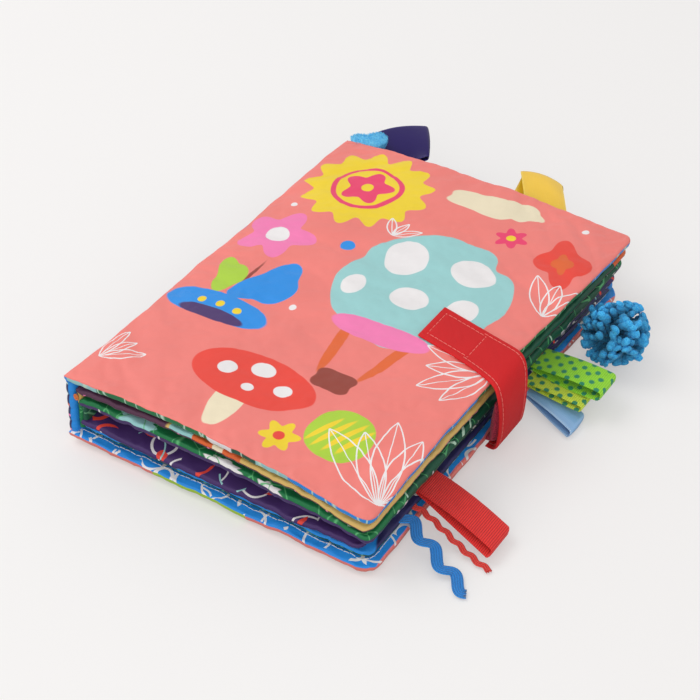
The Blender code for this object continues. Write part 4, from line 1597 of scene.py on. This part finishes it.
tape_mesh = band_mesh("tape", tape_line, tape_along, across_way, hook_half_width, tape_height, 15)
tape = piece("hook_tape_dressed", tape_mesh, hook_tape)
grow(tape, nap, Finish=hook_tape, Density=2.6e6, Length=1.3 * mm, Thickness=0.14 * mm, Lean=0.9, Seed=5)
seat(tape, "strap", "hook_tape", "strap_hook_tape")

# %% [markdown]
# A ribbon tag is a short ribbon folded in two with both ends sewn into a seam. Its line runs out,
# round the fold and back. A ribbed ribbon gets its ribs as real ridges across the band, and a satin
# one is smooth. Its two legs part a little sideways, as the sewn ends never lie quite square. One
# satin loop also heads aside and tilts, and the satin legs puff out across their width.

# %% Ribbons
ribbon_half_thickness = 0.3
seam_depth = 3.8
# The layer, the edge, the width, the reach, the place along the edge, and in mm the drop, the
# opening, the drift sideways and how far the legs part
ribbon_plan = {
    "red_grosgrain_loop": ("leaf_3", "fore", 16, 35.6, -64.2, 7.4, 3.4, -7.6, 1.6),
    "green_dotted_loop": ("leaf_3", "fore", 16, 33, 36.8, -1.6, 4.8, -2.6, 1.0),
    "lime_dotted_loop": ("leaf_4", "fore", 16, 27, 28.75, 0.4, 2.4, -1.6, 0.8),
    "blue_satin_loop": ("back_cover", "fore", 14, 26, 25.4, 3.2, 3.0, -9.1, 1.2),
    "purple_satin_loop": ("leaf_2", "far", 24, 38, -65.4, -2.4, 2.4, 0, 0.4),
    "yellow_satin_loop": ("leaf_1", "far", 24, 25.5, 30.5, -1.5, 4.2, 10.8, 0.4),
}
# A satin loop that heads aside: its way out of the seam and its way at the fold, in degrees
ribbon_headings = {"purple_satin_loop": (20, -58)}
# How steeply a loop tilts up toward the spine, between its seam and its fold
ribbon_tilts = {"purple_satin_loop": 0.35}
# How far a loop's ends are sewn apart, and how far its legs puff out, in mm
ribbon_splays = {"yellow_satin_loop": -6.5}
ribbon_puffs = {"yellow_satin_loop": 2.0, "purple_satin_loop": 0.8, "blue_satin_loop": 0.5}


def ribbon_line(reach, drop, opening, drift, part, splay, depth):
    """A folded ribbon's line: out on top, round the fold and back below; along, up and sideways."""
    share = np.linspace(0, 1, 40)
    closed = 2 * ribbon_half_thickness + 0.1
    half = (closed + (opening - closed) * np.sin(0.75 * np.pi * share) ** 1.2) / 2
    middle = -drop * share**1.6
    fold = half[-1]
    turn = np.linspace(0, np.pi, 16)[1:-1]
    leg = share * (reach - fold + depth) - depth
    out = np.concatenate([leg, reach - fold + fold * np.sin(turn), leg[::-1]])
    up = np.concatenate([middle + half, middle[-1] + fold * np.cos(turn), (middle - half)[::-1]])
    apart = splay * (1 - share)
    sideways = np.concatenate([share * part + apart, np.cos(turn) * part, (-share * part - apart)[::-1]])
    return np.stack([out, sideways + drift * out / reach, up], axis=1)


def headed(line, reach, first, last):
    """Bends a ribbon's line aside: its heading turns from first to last, in degrees, on the way out.
    Gives the bent line and the heading at each of its points."""
    steps = np.linspace(0, reach, 100)
    way = np.radians(first + (last - first) * (steps / reach) ** 0.7)
    ahead = np.concatenate([[0], np.cumsum(np.cos(way[1:]) * np.diff(steps))])
    aside = np.concatenate([[0], np.cumsum(np.sin(way[1:]) * np.diff(steps))])
    out, sideways, up = line.T
    here = np.interp(out, steps, way)
    before = np.minimum(out, 0)
    bent_out = np.interp(out, steps, ahead) + before * np.cos(here) - sideways * np.sin(here)
    bent_aside = np.interp(out, steps, aside) + before * np.sin(here) + sideways * np.cos(here)
    return np.stack([bent_out, bent_aside, up], axis=1), here


def on_edge(layer, edge, place, line):
    """Puts a line that runs out from a seam at its place on the fore-edge or the far edge."""
    _, fore_edge, far_edge = outline(layer)
    out, sideways, up = line.T
    if edge == "fore":
        off_y = lie(layer, fore_edge, place)[1]
        seam = seam_level(layer, fore_edge, place) + droop(layer, fore_edge, place)
        return np.stack([fore_edge + out, place + off_y + sideways, seam + up], axis=1)
    off_x, off_y = lie(layer, place, far_edge)
    seam = seam_level(layer, place, far_edge) + droop(layer, place, far_edge)
    return np.stack([place + off_x - sideways, far_edge + off_y + out, seam + up], axis=1)


rib_pitch = 1.0
dot_pitch = 5.2
# The dots' radius as a share of their pitch
dot_radius = 0.26


def ribbed(along, place):
    """Half the thickness of a ribbed ribbon, with a flat narrow edge."""
    edge = np.abs(place)
    half = place.max()
    rib = 0.5 + 0.5 * np.cos(2 * np.pi * along / rib_pitch)
    inside = np.clip((half - 0.5 - edge) / 0.3, 0, 1)
    return (ribbon_half_thickness * 0.8 + 0.17 * rib * inside) * np.where(edge > half - 0.05, 0.3, 1)


def smooth_band(along, place):
    """Half the thickness of a satin ribbon, with a firm woven edge."""
    edge = np.abs(place)
    half = place.max()
    rim = np.exp(-(((edge - half + 0.5) / 0.3) ** 2))
    return (ribbon_half_thickness * 0.7 + 0.08 * rim) * np.where(edge > half - 0.05, 0.3, 1)


def grosgrain_finish(name, colour, painted_shade, dots=None):
    """Ribbed ribbon with painted shading between its ribs, and printed dots if it has a colour for them."""
    made, tree, shader, place = finish_tree(name, 0.62, sheen=0.3, specular=0.35)
    parts = add(tree, "ShaderNodeSeparateXYZ", {0: place}).outputs
    wave = math_of(tree, "COSINE", math_of(tree, "MULTIPLY", parts[0], 2 * math.pi / rib_pitch))
    share = add(tree, "ShaderNodeMapRange", {"Value": wave, "From Min": -1.0, "From Max": 0.2}).outputs[0]
    top = colour
    if dots:
        slanted = {"Vector": place, "Angle": math.radians(45)}
        turned = add(tree, "ShaderNodeVectorRotate", slanted, rotation_type="Z_AXIS")
        scattered = {"Vector": turned.outputs[0], "Scale": 1 / dot_pitch, "Randomness": 0.22}
        cells = add(tree, "ShaderNodeTexVoronoi", scattered, feature="F1", voronoi_dimensions="2D")
        spot = math_of(tree, "LESS_THAN", cells.outputs["Distance"], dot_radius)
        top = mix_of(tree, spot, colour, dots)
        painted_shade = mix_of(tree, spot, painted_shade, dots)
    # Painted shade in the valleys between the ribs
    set_colour(tree, shader, mottled(tree, place, mix_of(tree, share, painted_shade, top), 0.05, 0.2))
    threads = add(tree, "ShaderNodeTexNoise", {"Vector": place, "Scale": 3.0, "Detail": 2.0})
    bump(tree, shader, threads.outputs[0], 0.06)
    return made


selvedge = 0.9


def satin_finish(name, colour, bright, width, shine=0.7):
    """Satin: glossy and smooth, its fine lengthwise threads streaked with painted highlight, and a dashed
    woven edge.
    """
    made, tree, shader, place = finish_tree(name, 0.28, sheen=0.05, specular=shine)
    parts = add(tree, "ShaderNodeSeparateXYZ", {0: place}).outputs
    stretched = add(tree, "ShaderNodeVectorMath", {0: place, 1: (0.15, 3.0, 1)}, operation="MULTIPLY")
    threads = add(tree, "ShaderNodeTexNoise", {"Vector": stretched.outputs[0], "Scale": 1.0, "Detail": 2.0})
    # Painted highlight: lengthwise streaks toward the lighter colour stand in for the satin's sheen
    base = mix_of(tree, math_of(tree, "MULTIPLY", threads.outputs[0], 0.3), colour, bright)
    wave = math_of(tree, "SINE", math_of(tree, "MULTIPLY", parts[0], 6.0))
    dash = math_of(tree, "GREATER_THAN", wave, 0.1)
    edge = math_of(tree, "GREATER_THAN", math_of(tree, "ABSOLUTE", parts[1]), width / 2 - selvedge)
    share = math_of(tree, "MULTIPLY", math_of(tree, "MULTIPLY", dash, edge), 0.7)
    # The dashed woven edge takes the lighter colour as its own
    base = mix_of(tree, share, base, bright)
    set_colour(tree, shader, mottled(tree, place, base, 0.05, 0.06))
    bump(tree, shader, threads.outputs[0], 0.03)
    return made


ribbon_finishes = {
    "red_grosgrain_loop": grosgrain_finish("red_grosgrain", srgb(244, 46, 40), srgb(184, 18, 20)),
    "green_dotted_loop": grosgrain_finish(
        "green_ribbon", srgb(162, 232, 48), srgb(124, 196, 30), srgb(36, 142, 100)
    ),
    "lime_dotted_loop": grosgrain_finish(
        "lime_ribbon", srgb(220, 238, 74), srgb(182, 206, 44), srgb(50, 142, 100)
    ),
    "blue_satin_loop": satin_finish("blue_satin", srgb(126, 180, 232), srgb(206, 230, 248), 14),
    "purple_satin_loop": satin_finish("purple_satin", srgb(36, 22, 88), srgb(62, 46, 128), 24, 0.2),
    "yellow_satin_loop": satin_finish("yellow_satin", srgb(246, 194, 12), srgb(255, 228, 96), 24),
}
for name, (layer, edge, width, reach, place, drop, opening, drift, part) in ribbon_plan.items():
    grosgrain = name in ("red_grosgrain_loop", "green_dotted_loop", "lime_dotted_loop")
    drawn_in = max(0, -lie(layer, half_width, place)[0]) if edge == "fore" else 0
    splay = ribbon_splays.get(name, 0)
    line = ribbon_line(reach, drop, opening, drift, part, splay, seam_depth + drawn_in)
    line, way = headed(line, reach, *ribbon_headings.get(name, (0, 0)))
    line = on_edge(layer, edge, place, line)
    passed = np.concatenate([[0], np.cumsum(np.linalg.norm(np.diff(line, axis=0), axis=1))])
    line, along = even_line(line, 0.125 if grosgrain else 0.6)
    way = np.interp(along, passed, way)
    still = 0 * way
    from_root = 1 - np.abs(2 * along / along[-1] - 1)
    tilt = ribbon_tilts.get(name, 0) * np.sin(0.9 * np.pi * from_root**0.7)
    crosswise = [still, still + 1, still] if edge == "fore" else [-np.cos(way), -np.sin(way), tilt]
    side = np.stack(crosswise, axis=1)
    section = ribbed if grosgrain else smooth_band
    mesh = band_mesh(name, line, along, side, width / 2, section, 13, ribbon_puffs.get(name, 0))
    finish = ribbon_finishes[name]
    loop = piece(name + "_dressed", mesh, finish)
    # Blender numbers a name that is taken, so the slot is the part before the dot
    seat(loop, layer, finish.name.split(".")[0], name)

# %% [markdown]
# Rickrack is a flat braid woven in waves. Its line is the wavy route that the construction gives
# it, repeated here, and its section has one ridge for each braided strand, with small bumps along
# every ridge where the strands cross. It hangs limp down to the table, and its end is frayed bare.

# %% Rickrack
# The width, the wave's height and length, the reach, the place along the edge, the drift sideways
# as a share of the reach, the number of strands, the colour and its painted shade between the strands
rickrack_plan = {
    "red_rickrack": (3.0, 0.6, 7, 38, -75.4, -0.2, 3, srgb(240, 66, 56), srgb(176, 24, 26)),
    "blue_rickrack": (5.3, 2.4, 13.5, 36, -84.6, -0.4, 5, srgb(42, 142, 222), srgb(20, 92, 176)),
}
rickrack_floor = 1.2
rickrack_root = 6
rickrack_half_thickness = 0.55
crossing_pitch = 1.2
fray_length = 1.5


def rickrack_line(wave, wave_length, reach, place, drift):
    """The braid's way out of the seam, in waves, and down to the table."""
    _, fore_edge, _ = outline("leaf_4")
    u = np.linspace(-rickrack_root, reach, 200)
    sideways = wave * np.cos(2 * np.pi * u / wave_length) + drift * u
    seam = seam_level("leaf_4", fore_edge, place)
    z = seam - (seam - rickrack_floor) * np.sin(np.pi / 2 * np.maximum(u, 0) / reach) ** 1.5
    return np.stack([fore_edge + u, place + sideways, z], axis=1)


def rickrack_mesh(name, line, along, half, strands):
    """The braid: a flat band with a bumpy ridge for each strand."""
    ahead = unit(np.gradient(line, axis=0))
    side = unit(np.cross([0.0, 0.0, 1.0], ahead))
    up = np.cross(ahead, side)
    columns = strands * 6 + 1
    place = np.linspace(-1, 1, columns)[None, :] * half
    strand_place = (place / half + 1) / 2 * strands
    ridge = np.abs(np.sin(np.pi * strand_place)) ** 0.7
    phase = np.floor(np.clip(strand_place, 0, strands - 0.01)) % 2 * np.pi
    bumps = 0.72 + 0.28 * np.sin(2 * np.pi * along[:, None] / crossing_pitch + phase)
    edge = np.sqrt(np.clip(1 - (place / half) ** 8, 0.02, 1))
    high = rickrack_half_thickness * (0.55 + 0.45 * ridge * bumps) * edge
    random = np.random.default_rng(strands)
    frayed = random.uniform(-0.9, 0.9, columns)[None, :]
    fray = np.clip((along[:, None] - along[-1] + fray_length) / fray_length, 0, 1) * frayed
    base = line[:, None] + side[:, None] * place[..., None] + ahead[:, None] * fray[..., None]
    points = np.concatenate(
        [base + up[:, None] * high[..., None], (base - up[:, None] * high[..., None])[:, ::-1]], axis=1
    )
    flat_over = np.stack([along[:, None] + 0 * place, place + 0 * along[:, None]], axis=-1)
    flat = np.concatenate([flat_over, flat_over[:, ::-1], flat_over[:, :1]], axis=1)
    return grid_mesh(name, points, flat, wrap=True, caps=True)


def braid_finish(name, colour, painted_shade, strand_width):
    """Braided cotton with slanting threads along each strand, and painted shading in the hollows between
    strands and threads.
    """
    made, tree, shader, place = finish_tree(name, 0.7, sheen=0.3, specular=0.3)
    parts = add(tree, "ShaderNodeSeparateXYZ", {0: place}).outputs
    strands = math_of(tree, "MULTIPLY", parts[1], math.pi / strand_width)
    across = math_of(tree, "ABSOLUTE", math_of(tree, "SINE", strands))
    aside = math_of(tree, "MULTIPLY", parts[1], 6.0)
    slant = math_of(tree, "ADD", math_of(tree, "MULTIPLY", parts[0], 9.0), aside)
    thread = math_of(tree, "MULTIPLY_ADD", math_of(tree, "SINE", slant), 0.5, 0.5)
    height = math_of(tree, "MULTIPLY_ADD", thread, 0.5, across)
    share = add(tree, "ShaderNodeMapRange", {"Value": height, "From Min": 0.1, "From Max": 1.0}).outputs[0]
    # Painted shade in the hollows between the strands and threads
    set_colour(tree, shader, mottled(tree, place, mix_of(tree, share, painted_shade, colour), 0.08, 0.3))
    bump(tree, shader, height, 0.12)
    return made


for name, (width, wave, wave_length, reach, place, drift, strands, colour, painted_shade) in rickrack_plan.items():
    route = rickrack_line(wave, wave_length, reach, place, drift)
    line, along = even_line(route, 0.25)
    finish = braid_finish(name, colour, painted_shade, width / strands)
    braid = piece(name + "_dressed", rickrack_mesh(name, line, along, width / 2, strands), finish)
    seat(braid, "leaf_4", name, name)
    print(name, "length", round(along[-1], 1), "mm")

# %% [markdown]
# The pompom is a ball of chenille yarn: fat, bumpy strands that all start at its middle. A third
# tree scatters strands over a small core, so that none overlaps its neighbour's root, bends them
# all with one slow noise, and roughens them with a fast one.

# %% The chenille tree
pompom_low, pompom_high = (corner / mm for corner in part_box("pompom"))
pompom_centre = (pompom_low + pompom_high) / 2
pompom_radius = (pompom_high.y - pompom_low.y) / 2
core_radius = pompom_radius * 0.4

chenille, put, get = group_tree(
    "chenille",
    "GeometryNodeTree",
    {
        "Core": ("NodeSocketGeometry", None),
        "Spacing": (number, 1.4 * mm),
        "Length": (number, 9.0 * mm),
        "Strand": (number, 1.7 * mm),
        "Bend": (number, 6.5 * mm),
        "Lumps": (number, 0.6 * mm),
        "Lump Size": (number, 1.7 * mm),
        "Lean": (number, 1.1),
        "Seed": ("NodeSocketInt", 2),
        "Finish": ("NodeSocketMaterial", None),
    },
    {"Ball": "NodeSocketGeometry"},
)
roots = add(
    chenille,
    "GeometryNodeDistributePointsOnFaces",
    {"Mesh": put["Core"], "Distance Min": put["Spacing"], "Density Max": 3e6, "Seed": put["Seed"]},
    distribute_method="POISSON",
)
tip = add(chenille, "ShaderNodeCombineXYZ", {"Z": put["Length"]})
stem = add(chenille, "GeometryNodeCurvePrimitiveLine", {"End": tip.outputs[0]})
stem_steps = {"Curve": stem.outputs[0], "Count": 30}
stem_points = add(chenille, "GeometryNodeResampleCurve", stem_steps, mode="COUNT")
along_stem = add(chenille, "GeometryNodeSplineParameter").outputs["Factor"]
to_tip = math_of(chenille, "SUBTRACT", 1.0, along_stem)
past = math_of(chenille, "MAXIMUM", math_of(chenille, "MULTIPLY_ADD", to_tip, -5.6, 1.0), 0.0)
past_squared = math_of(chenille, "POWER", past, 2.0)
round_tip = math_of(chenille, "SQRT", math_of(chenille, "SUBTRACT", 1.01, past_squared))
root_share = math_of(chenille, "MULTIPLY_ADD", along_stem, 0.45, 0.62)
beads = math_of(chenille, "SINE", math_of(chenille, "MULTIPLY", along_stem, 29.0))
beaded = math_of(chenille, "MULTIPLY", root_share, math_of(chenille, "MULTIPLY_ADD", beads, 0.12, 1.0))
tip_share = math_of(chenille, "MULTIPLY", round_tip, beaded)
strand_ring = add(chenille, "GeometryNodeCurvePrimitiveCircle", {"Resolution": 10, "Radius": put["Strand"]})
strand = add(
    chenille,
    "GeometryNodeCurveToMesh",
    {
        "Curve": stem_points.outputs[0],
        "Profile Curve": strand_ring.outputs[0],
        "Scale": tip_share,
        "Fill Caps": True,
    },
)
tilted = leaned(chenille, put, roots.outputs["Rotation"])
sizes = add(chenille, "FunctionNodeRandomValue", {2: 0.86, 3: 1.08, "Seed": put["Seed"]}, data_type="FLOAT")
standing = add(
    chenille,
    "GeometryNodeInstanceOnPoints",
    {
        "Points": roots.outputs[0],
        "Instance": strand.outputs[0],
        "Rotation": tilted,
        "Scale": sizes.outputs[1],
    },
)
real = add(chenille, "GeometryNodeRealizeInstances", {"Geometry": standing.outputs[0]})
here = add(chenille, "GeometryNodeInputPosition")
slow = add(chenille, "ShaderNodeTexNoise", {"Vector": here.outputs[0], "Scale": 75.0, "Detail": 0.0})
about_zero = add(
    chenille, "ShaderNodeVectorMath", {0: slow.outputs["Color"], 1: (0.5, 0.5, 0.5)}, operation="SUBTRACT"
)
bending = add(
    chenille, "ShaderNodeVectorMath", {0: about_zero.outputs[0], "Scale": put["Bend"]}, operation="SCALE"
)
bent = add(chenille, "GeometryNodeSetPosition", {"Geometry": real.outputs[0], "Offset": bending.outputs[0]})
lump_rate = math_of(chenille, "DIVIDE", 1.0, put["Lump Size"])
fast = add(chenille, "ShaderNodeTexNoise", {"Vector": here.outputs[0], "Scale": lump_rate, "Detail": 1.0})
lump = math_of(chenille, "MULTIPLY", math_of(chenille, "SUBTRACT", fast.outputs[0], 0.5), put["Lumps"])
outward = add(chenille, "GeometryNodeInputNormal")
lump_height = math_of(chenille, "MULTIPLY", lump, 2.0)
raised = {0: outward.outputs[0], "Scale": lump_height}
lumping = add(chenille, "ShaderNodeVectorMath", raised, operation="SCALE")
rough = add(chenille, "GeometryNodeSetPosition", {"Geometry": bent.outputs[0], "Offset": lumping.outputs[0]})
joined = add(chenille, "GeometryNodeJoinGeometry", {0: rough.outputs[0]})
chenille.links.new(put["Core"], joined.inputs[0])
end_tree(chenille, joined, put, get)

# %% The pompom
chenille_blue = fuzzy_finish(
    "chenille_blue", srgb(88, 202, 255), srgb(42, 156, 232), 0.7, 0.12, (pompom_centre, pompom_radius)
)
bm = bmesh.new()
bmesh.ops.create_icosphere(bm, subdivisions=3, radius=core_radius * mm)
core_mesh = bpy.data.meshes.new("pompom_core")
bm.to_mesh(core_mesh)
bm.free()
pompom = piece("pompom_dressed", core_mesh, chenille_blue)
strand_length = (pompom_radius - core_radius) * mm * 0.97
grow(pompom, chenille, Finish=chenille_blue, Length=strand_length, Spacing=1.5 * mm)
pompom.data.transform(Matrix.Translation(pompom_centre * mm))
pompom.data.shade_smooth()
seat(pompom, "pompom", "blue_chenille", "pompom")

# %% [markdown]
# The plush tab is one soft shape with a small and a large lobe. Metaballs melt into each other, so
# they give it without a seam, and the nap tree covers it with short fibres.

# %% The plush tab
plush_place = -72.6
plush_lift = 4.4
# Out from the seam, toward the fore-edge, and the half sizes of each part of the tab
plush_parts = ((1.8, 0, 3.0, 6.0, 2.0), (4.8, -5.4, 3.5, 3.0, 2.6), (8.2, 4.4, 6.6, 5.6, 3.4))
balls = bpy.data.metaballs.new("plush")
balls.resolution = 0.55 * mm
balls.render_resolution = 0.55 * mm
_, _, far_edge = outline("leaf_1")
off_x, off_y = lie("leaf_1", plush_place, far_edge)
plush_z = seam_level("leaf_1", plush_place, far_edge) + plush_lift
for out, along_edge, size_out, size_along, size_up in plush_parts:
    ball = balls.elements.new()
    ball.type = "ELLIPSOID"
    ball.co = Vector((plush_place + off_x + along_edge, far_edge + off_y + out, plush_z)) * mm
    ball.radius = 2 * mm
    ball.size_x, ball.size_y, ball.size_z = size_along / 1.15, size_out / 1.15, size_up / 1.15
balls.threshold = 0.3
melted = bpy.data.objects.new("plush", balls)
scene.collection.objects.link(melted)
plush_mesh = bpy.data.meshes.new_from_object(melted.evaluated_get(bpy.context.evaluated_depsgraph_get()))
bpy.data.objects.remove(melted)
plush_blue = fuzzy_finish("plush_blue", srgb(136, 224, 255), srgb(104, 204, 250), 1.6, 0.2)
plush = piece("plush_tab_dressed", plush_mesh, plush_blue)
print("plush size", [round(d / mm, 1) for d in plush.dimensions])
grow(plush, nap, Finish=plush_blue, Density=6e6, Length=0.9 * mm, Thickness=0.1 * mm, Lean=0.8, Seed=9)
seat(plush, "leaf_1", "blue_plush", "plush_tab")

# %% [markdown]
# The loop half of the closure is sewn under the back cover. It takes the shape of its solid, moved
# with the cover that carries it. The short thread that ties the pompom on keeps its solid and only
# gets a finish.

# %% The loop patch and the tie
patch_inset = 1
loop_fuzz = fuzzy_finish("loop_tape", srgb(170, 48, 56), srgb(100, 20, 32), 0.5, 0.15)
patch_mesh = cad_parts["back_cover_loop_patch"].data.copy()
for vertex in patch_mesh.vertices:
    x, y, _ = vertex.co / mm
    off_x, off_y = lie("back_cover", x, y)
    vertex.co += Vector((off_x - patch_inset, off_y, droop("back_cover", x, y))) * mm
loop_patch = piece("loop_patch_dressed", patch_mesh, loop_fuzz)
seat(loop_patch, "back_cover", "loop_tape", "back_cover_loop_patch")
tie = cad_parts["pompom_tie"]
tie.data.materials.clear()
tie.data.materials.append(thread_finish("blue_thread", srgb(66, 160, 220)))

# %% [markdown]
# The floor is a pale lit table under a soft daylight sky, with a large lamp at the upper left whose
# soft shadow falls to the lower right. The table's own glow is for the camera only, so it lightens
# the shadow and does not light the book. The world is pale for the camera and for reflections.

# %% Floor, lamps and world
floor_colour = srgb(196, 194, 193)
floor_glow = 0.4
floor_half = 3
world_strength = 0.62
key_power = 6
fill_power = 7

bm = bmesh.new()
bmesh.ops.create_grid(bm, x_segments=1, y_segments=1, size=floor_half)
floor_mesh = bpy.data.meshes.new("floor")
bm.to_mesh(floor_mesh)
bm.free()
floor_finish, tree, shader, place = finish_tree("floor_paper", 0.9, specular=0.1, object_space=True)
set_colour(tree, shader, mottled(tree, place, floor_colour, 0.01, 0.002))
seen = add(tree, "ShaderNodeLightPath").outputs["Is Camera Ray"]
tree.links.new(math_of(tree, "MULTIPLY", seen, floor_glow), shader.inputs["Emission Strength"])
shader.inputs["Emission Color"].default_value = (1, 0.985, 0.975, 1)
floor = piece("floor", floor_mesh, floor_finish)

world = bpy.data.worlds.new("soft_daylight")
world.use_nodes = True
scene.world = world
tree = world.node_tree
path = add(tree, "ShaderNodeLightPath").outputs
bounced = math_of(tree, "MAXIMUM", path["Is Glossy Ray"], path["Is Transmission Ray"])
seen = math_of(tree, "MAXIMUM", path["Is Camera Ray"], bounced)
strength = add(
    tree, "ShaderNodeMapRange", {"Value": seen, "To Min": world_strength, "To Max": 0.95}
).outputs[0]
tree.links.new(strength, tree.nodes["Background"].inputs["Strength"])
tree.nodes["Background"].inputs["Color"].default_value = (1, 1, 1, 1)


def lamp(name, power, size, place, aim=(0, 0, 0.02)):
    """A square soft lamp that looks at the book."""
    light = bpy.data.lights.new(name, "AREA")
    light.energy = power
    light.size = size
    obj = bpy.data.objects.new(name, light)
    obj.location = place
    obj.rotation_euler = (Vector(aim) - Vector(place)).to_track_quat("-Z", "Y").to_euler()
    scene.collection.objects.link(obj)


lamp("key_lamp", key_power, 0.9, (-0.8, -0.2, 1.2))
lamp("fill_lamp", fill_power, 1.4, (0.7, -1.4, 0.8))
scene.view_settings.view_transform = "Standard"
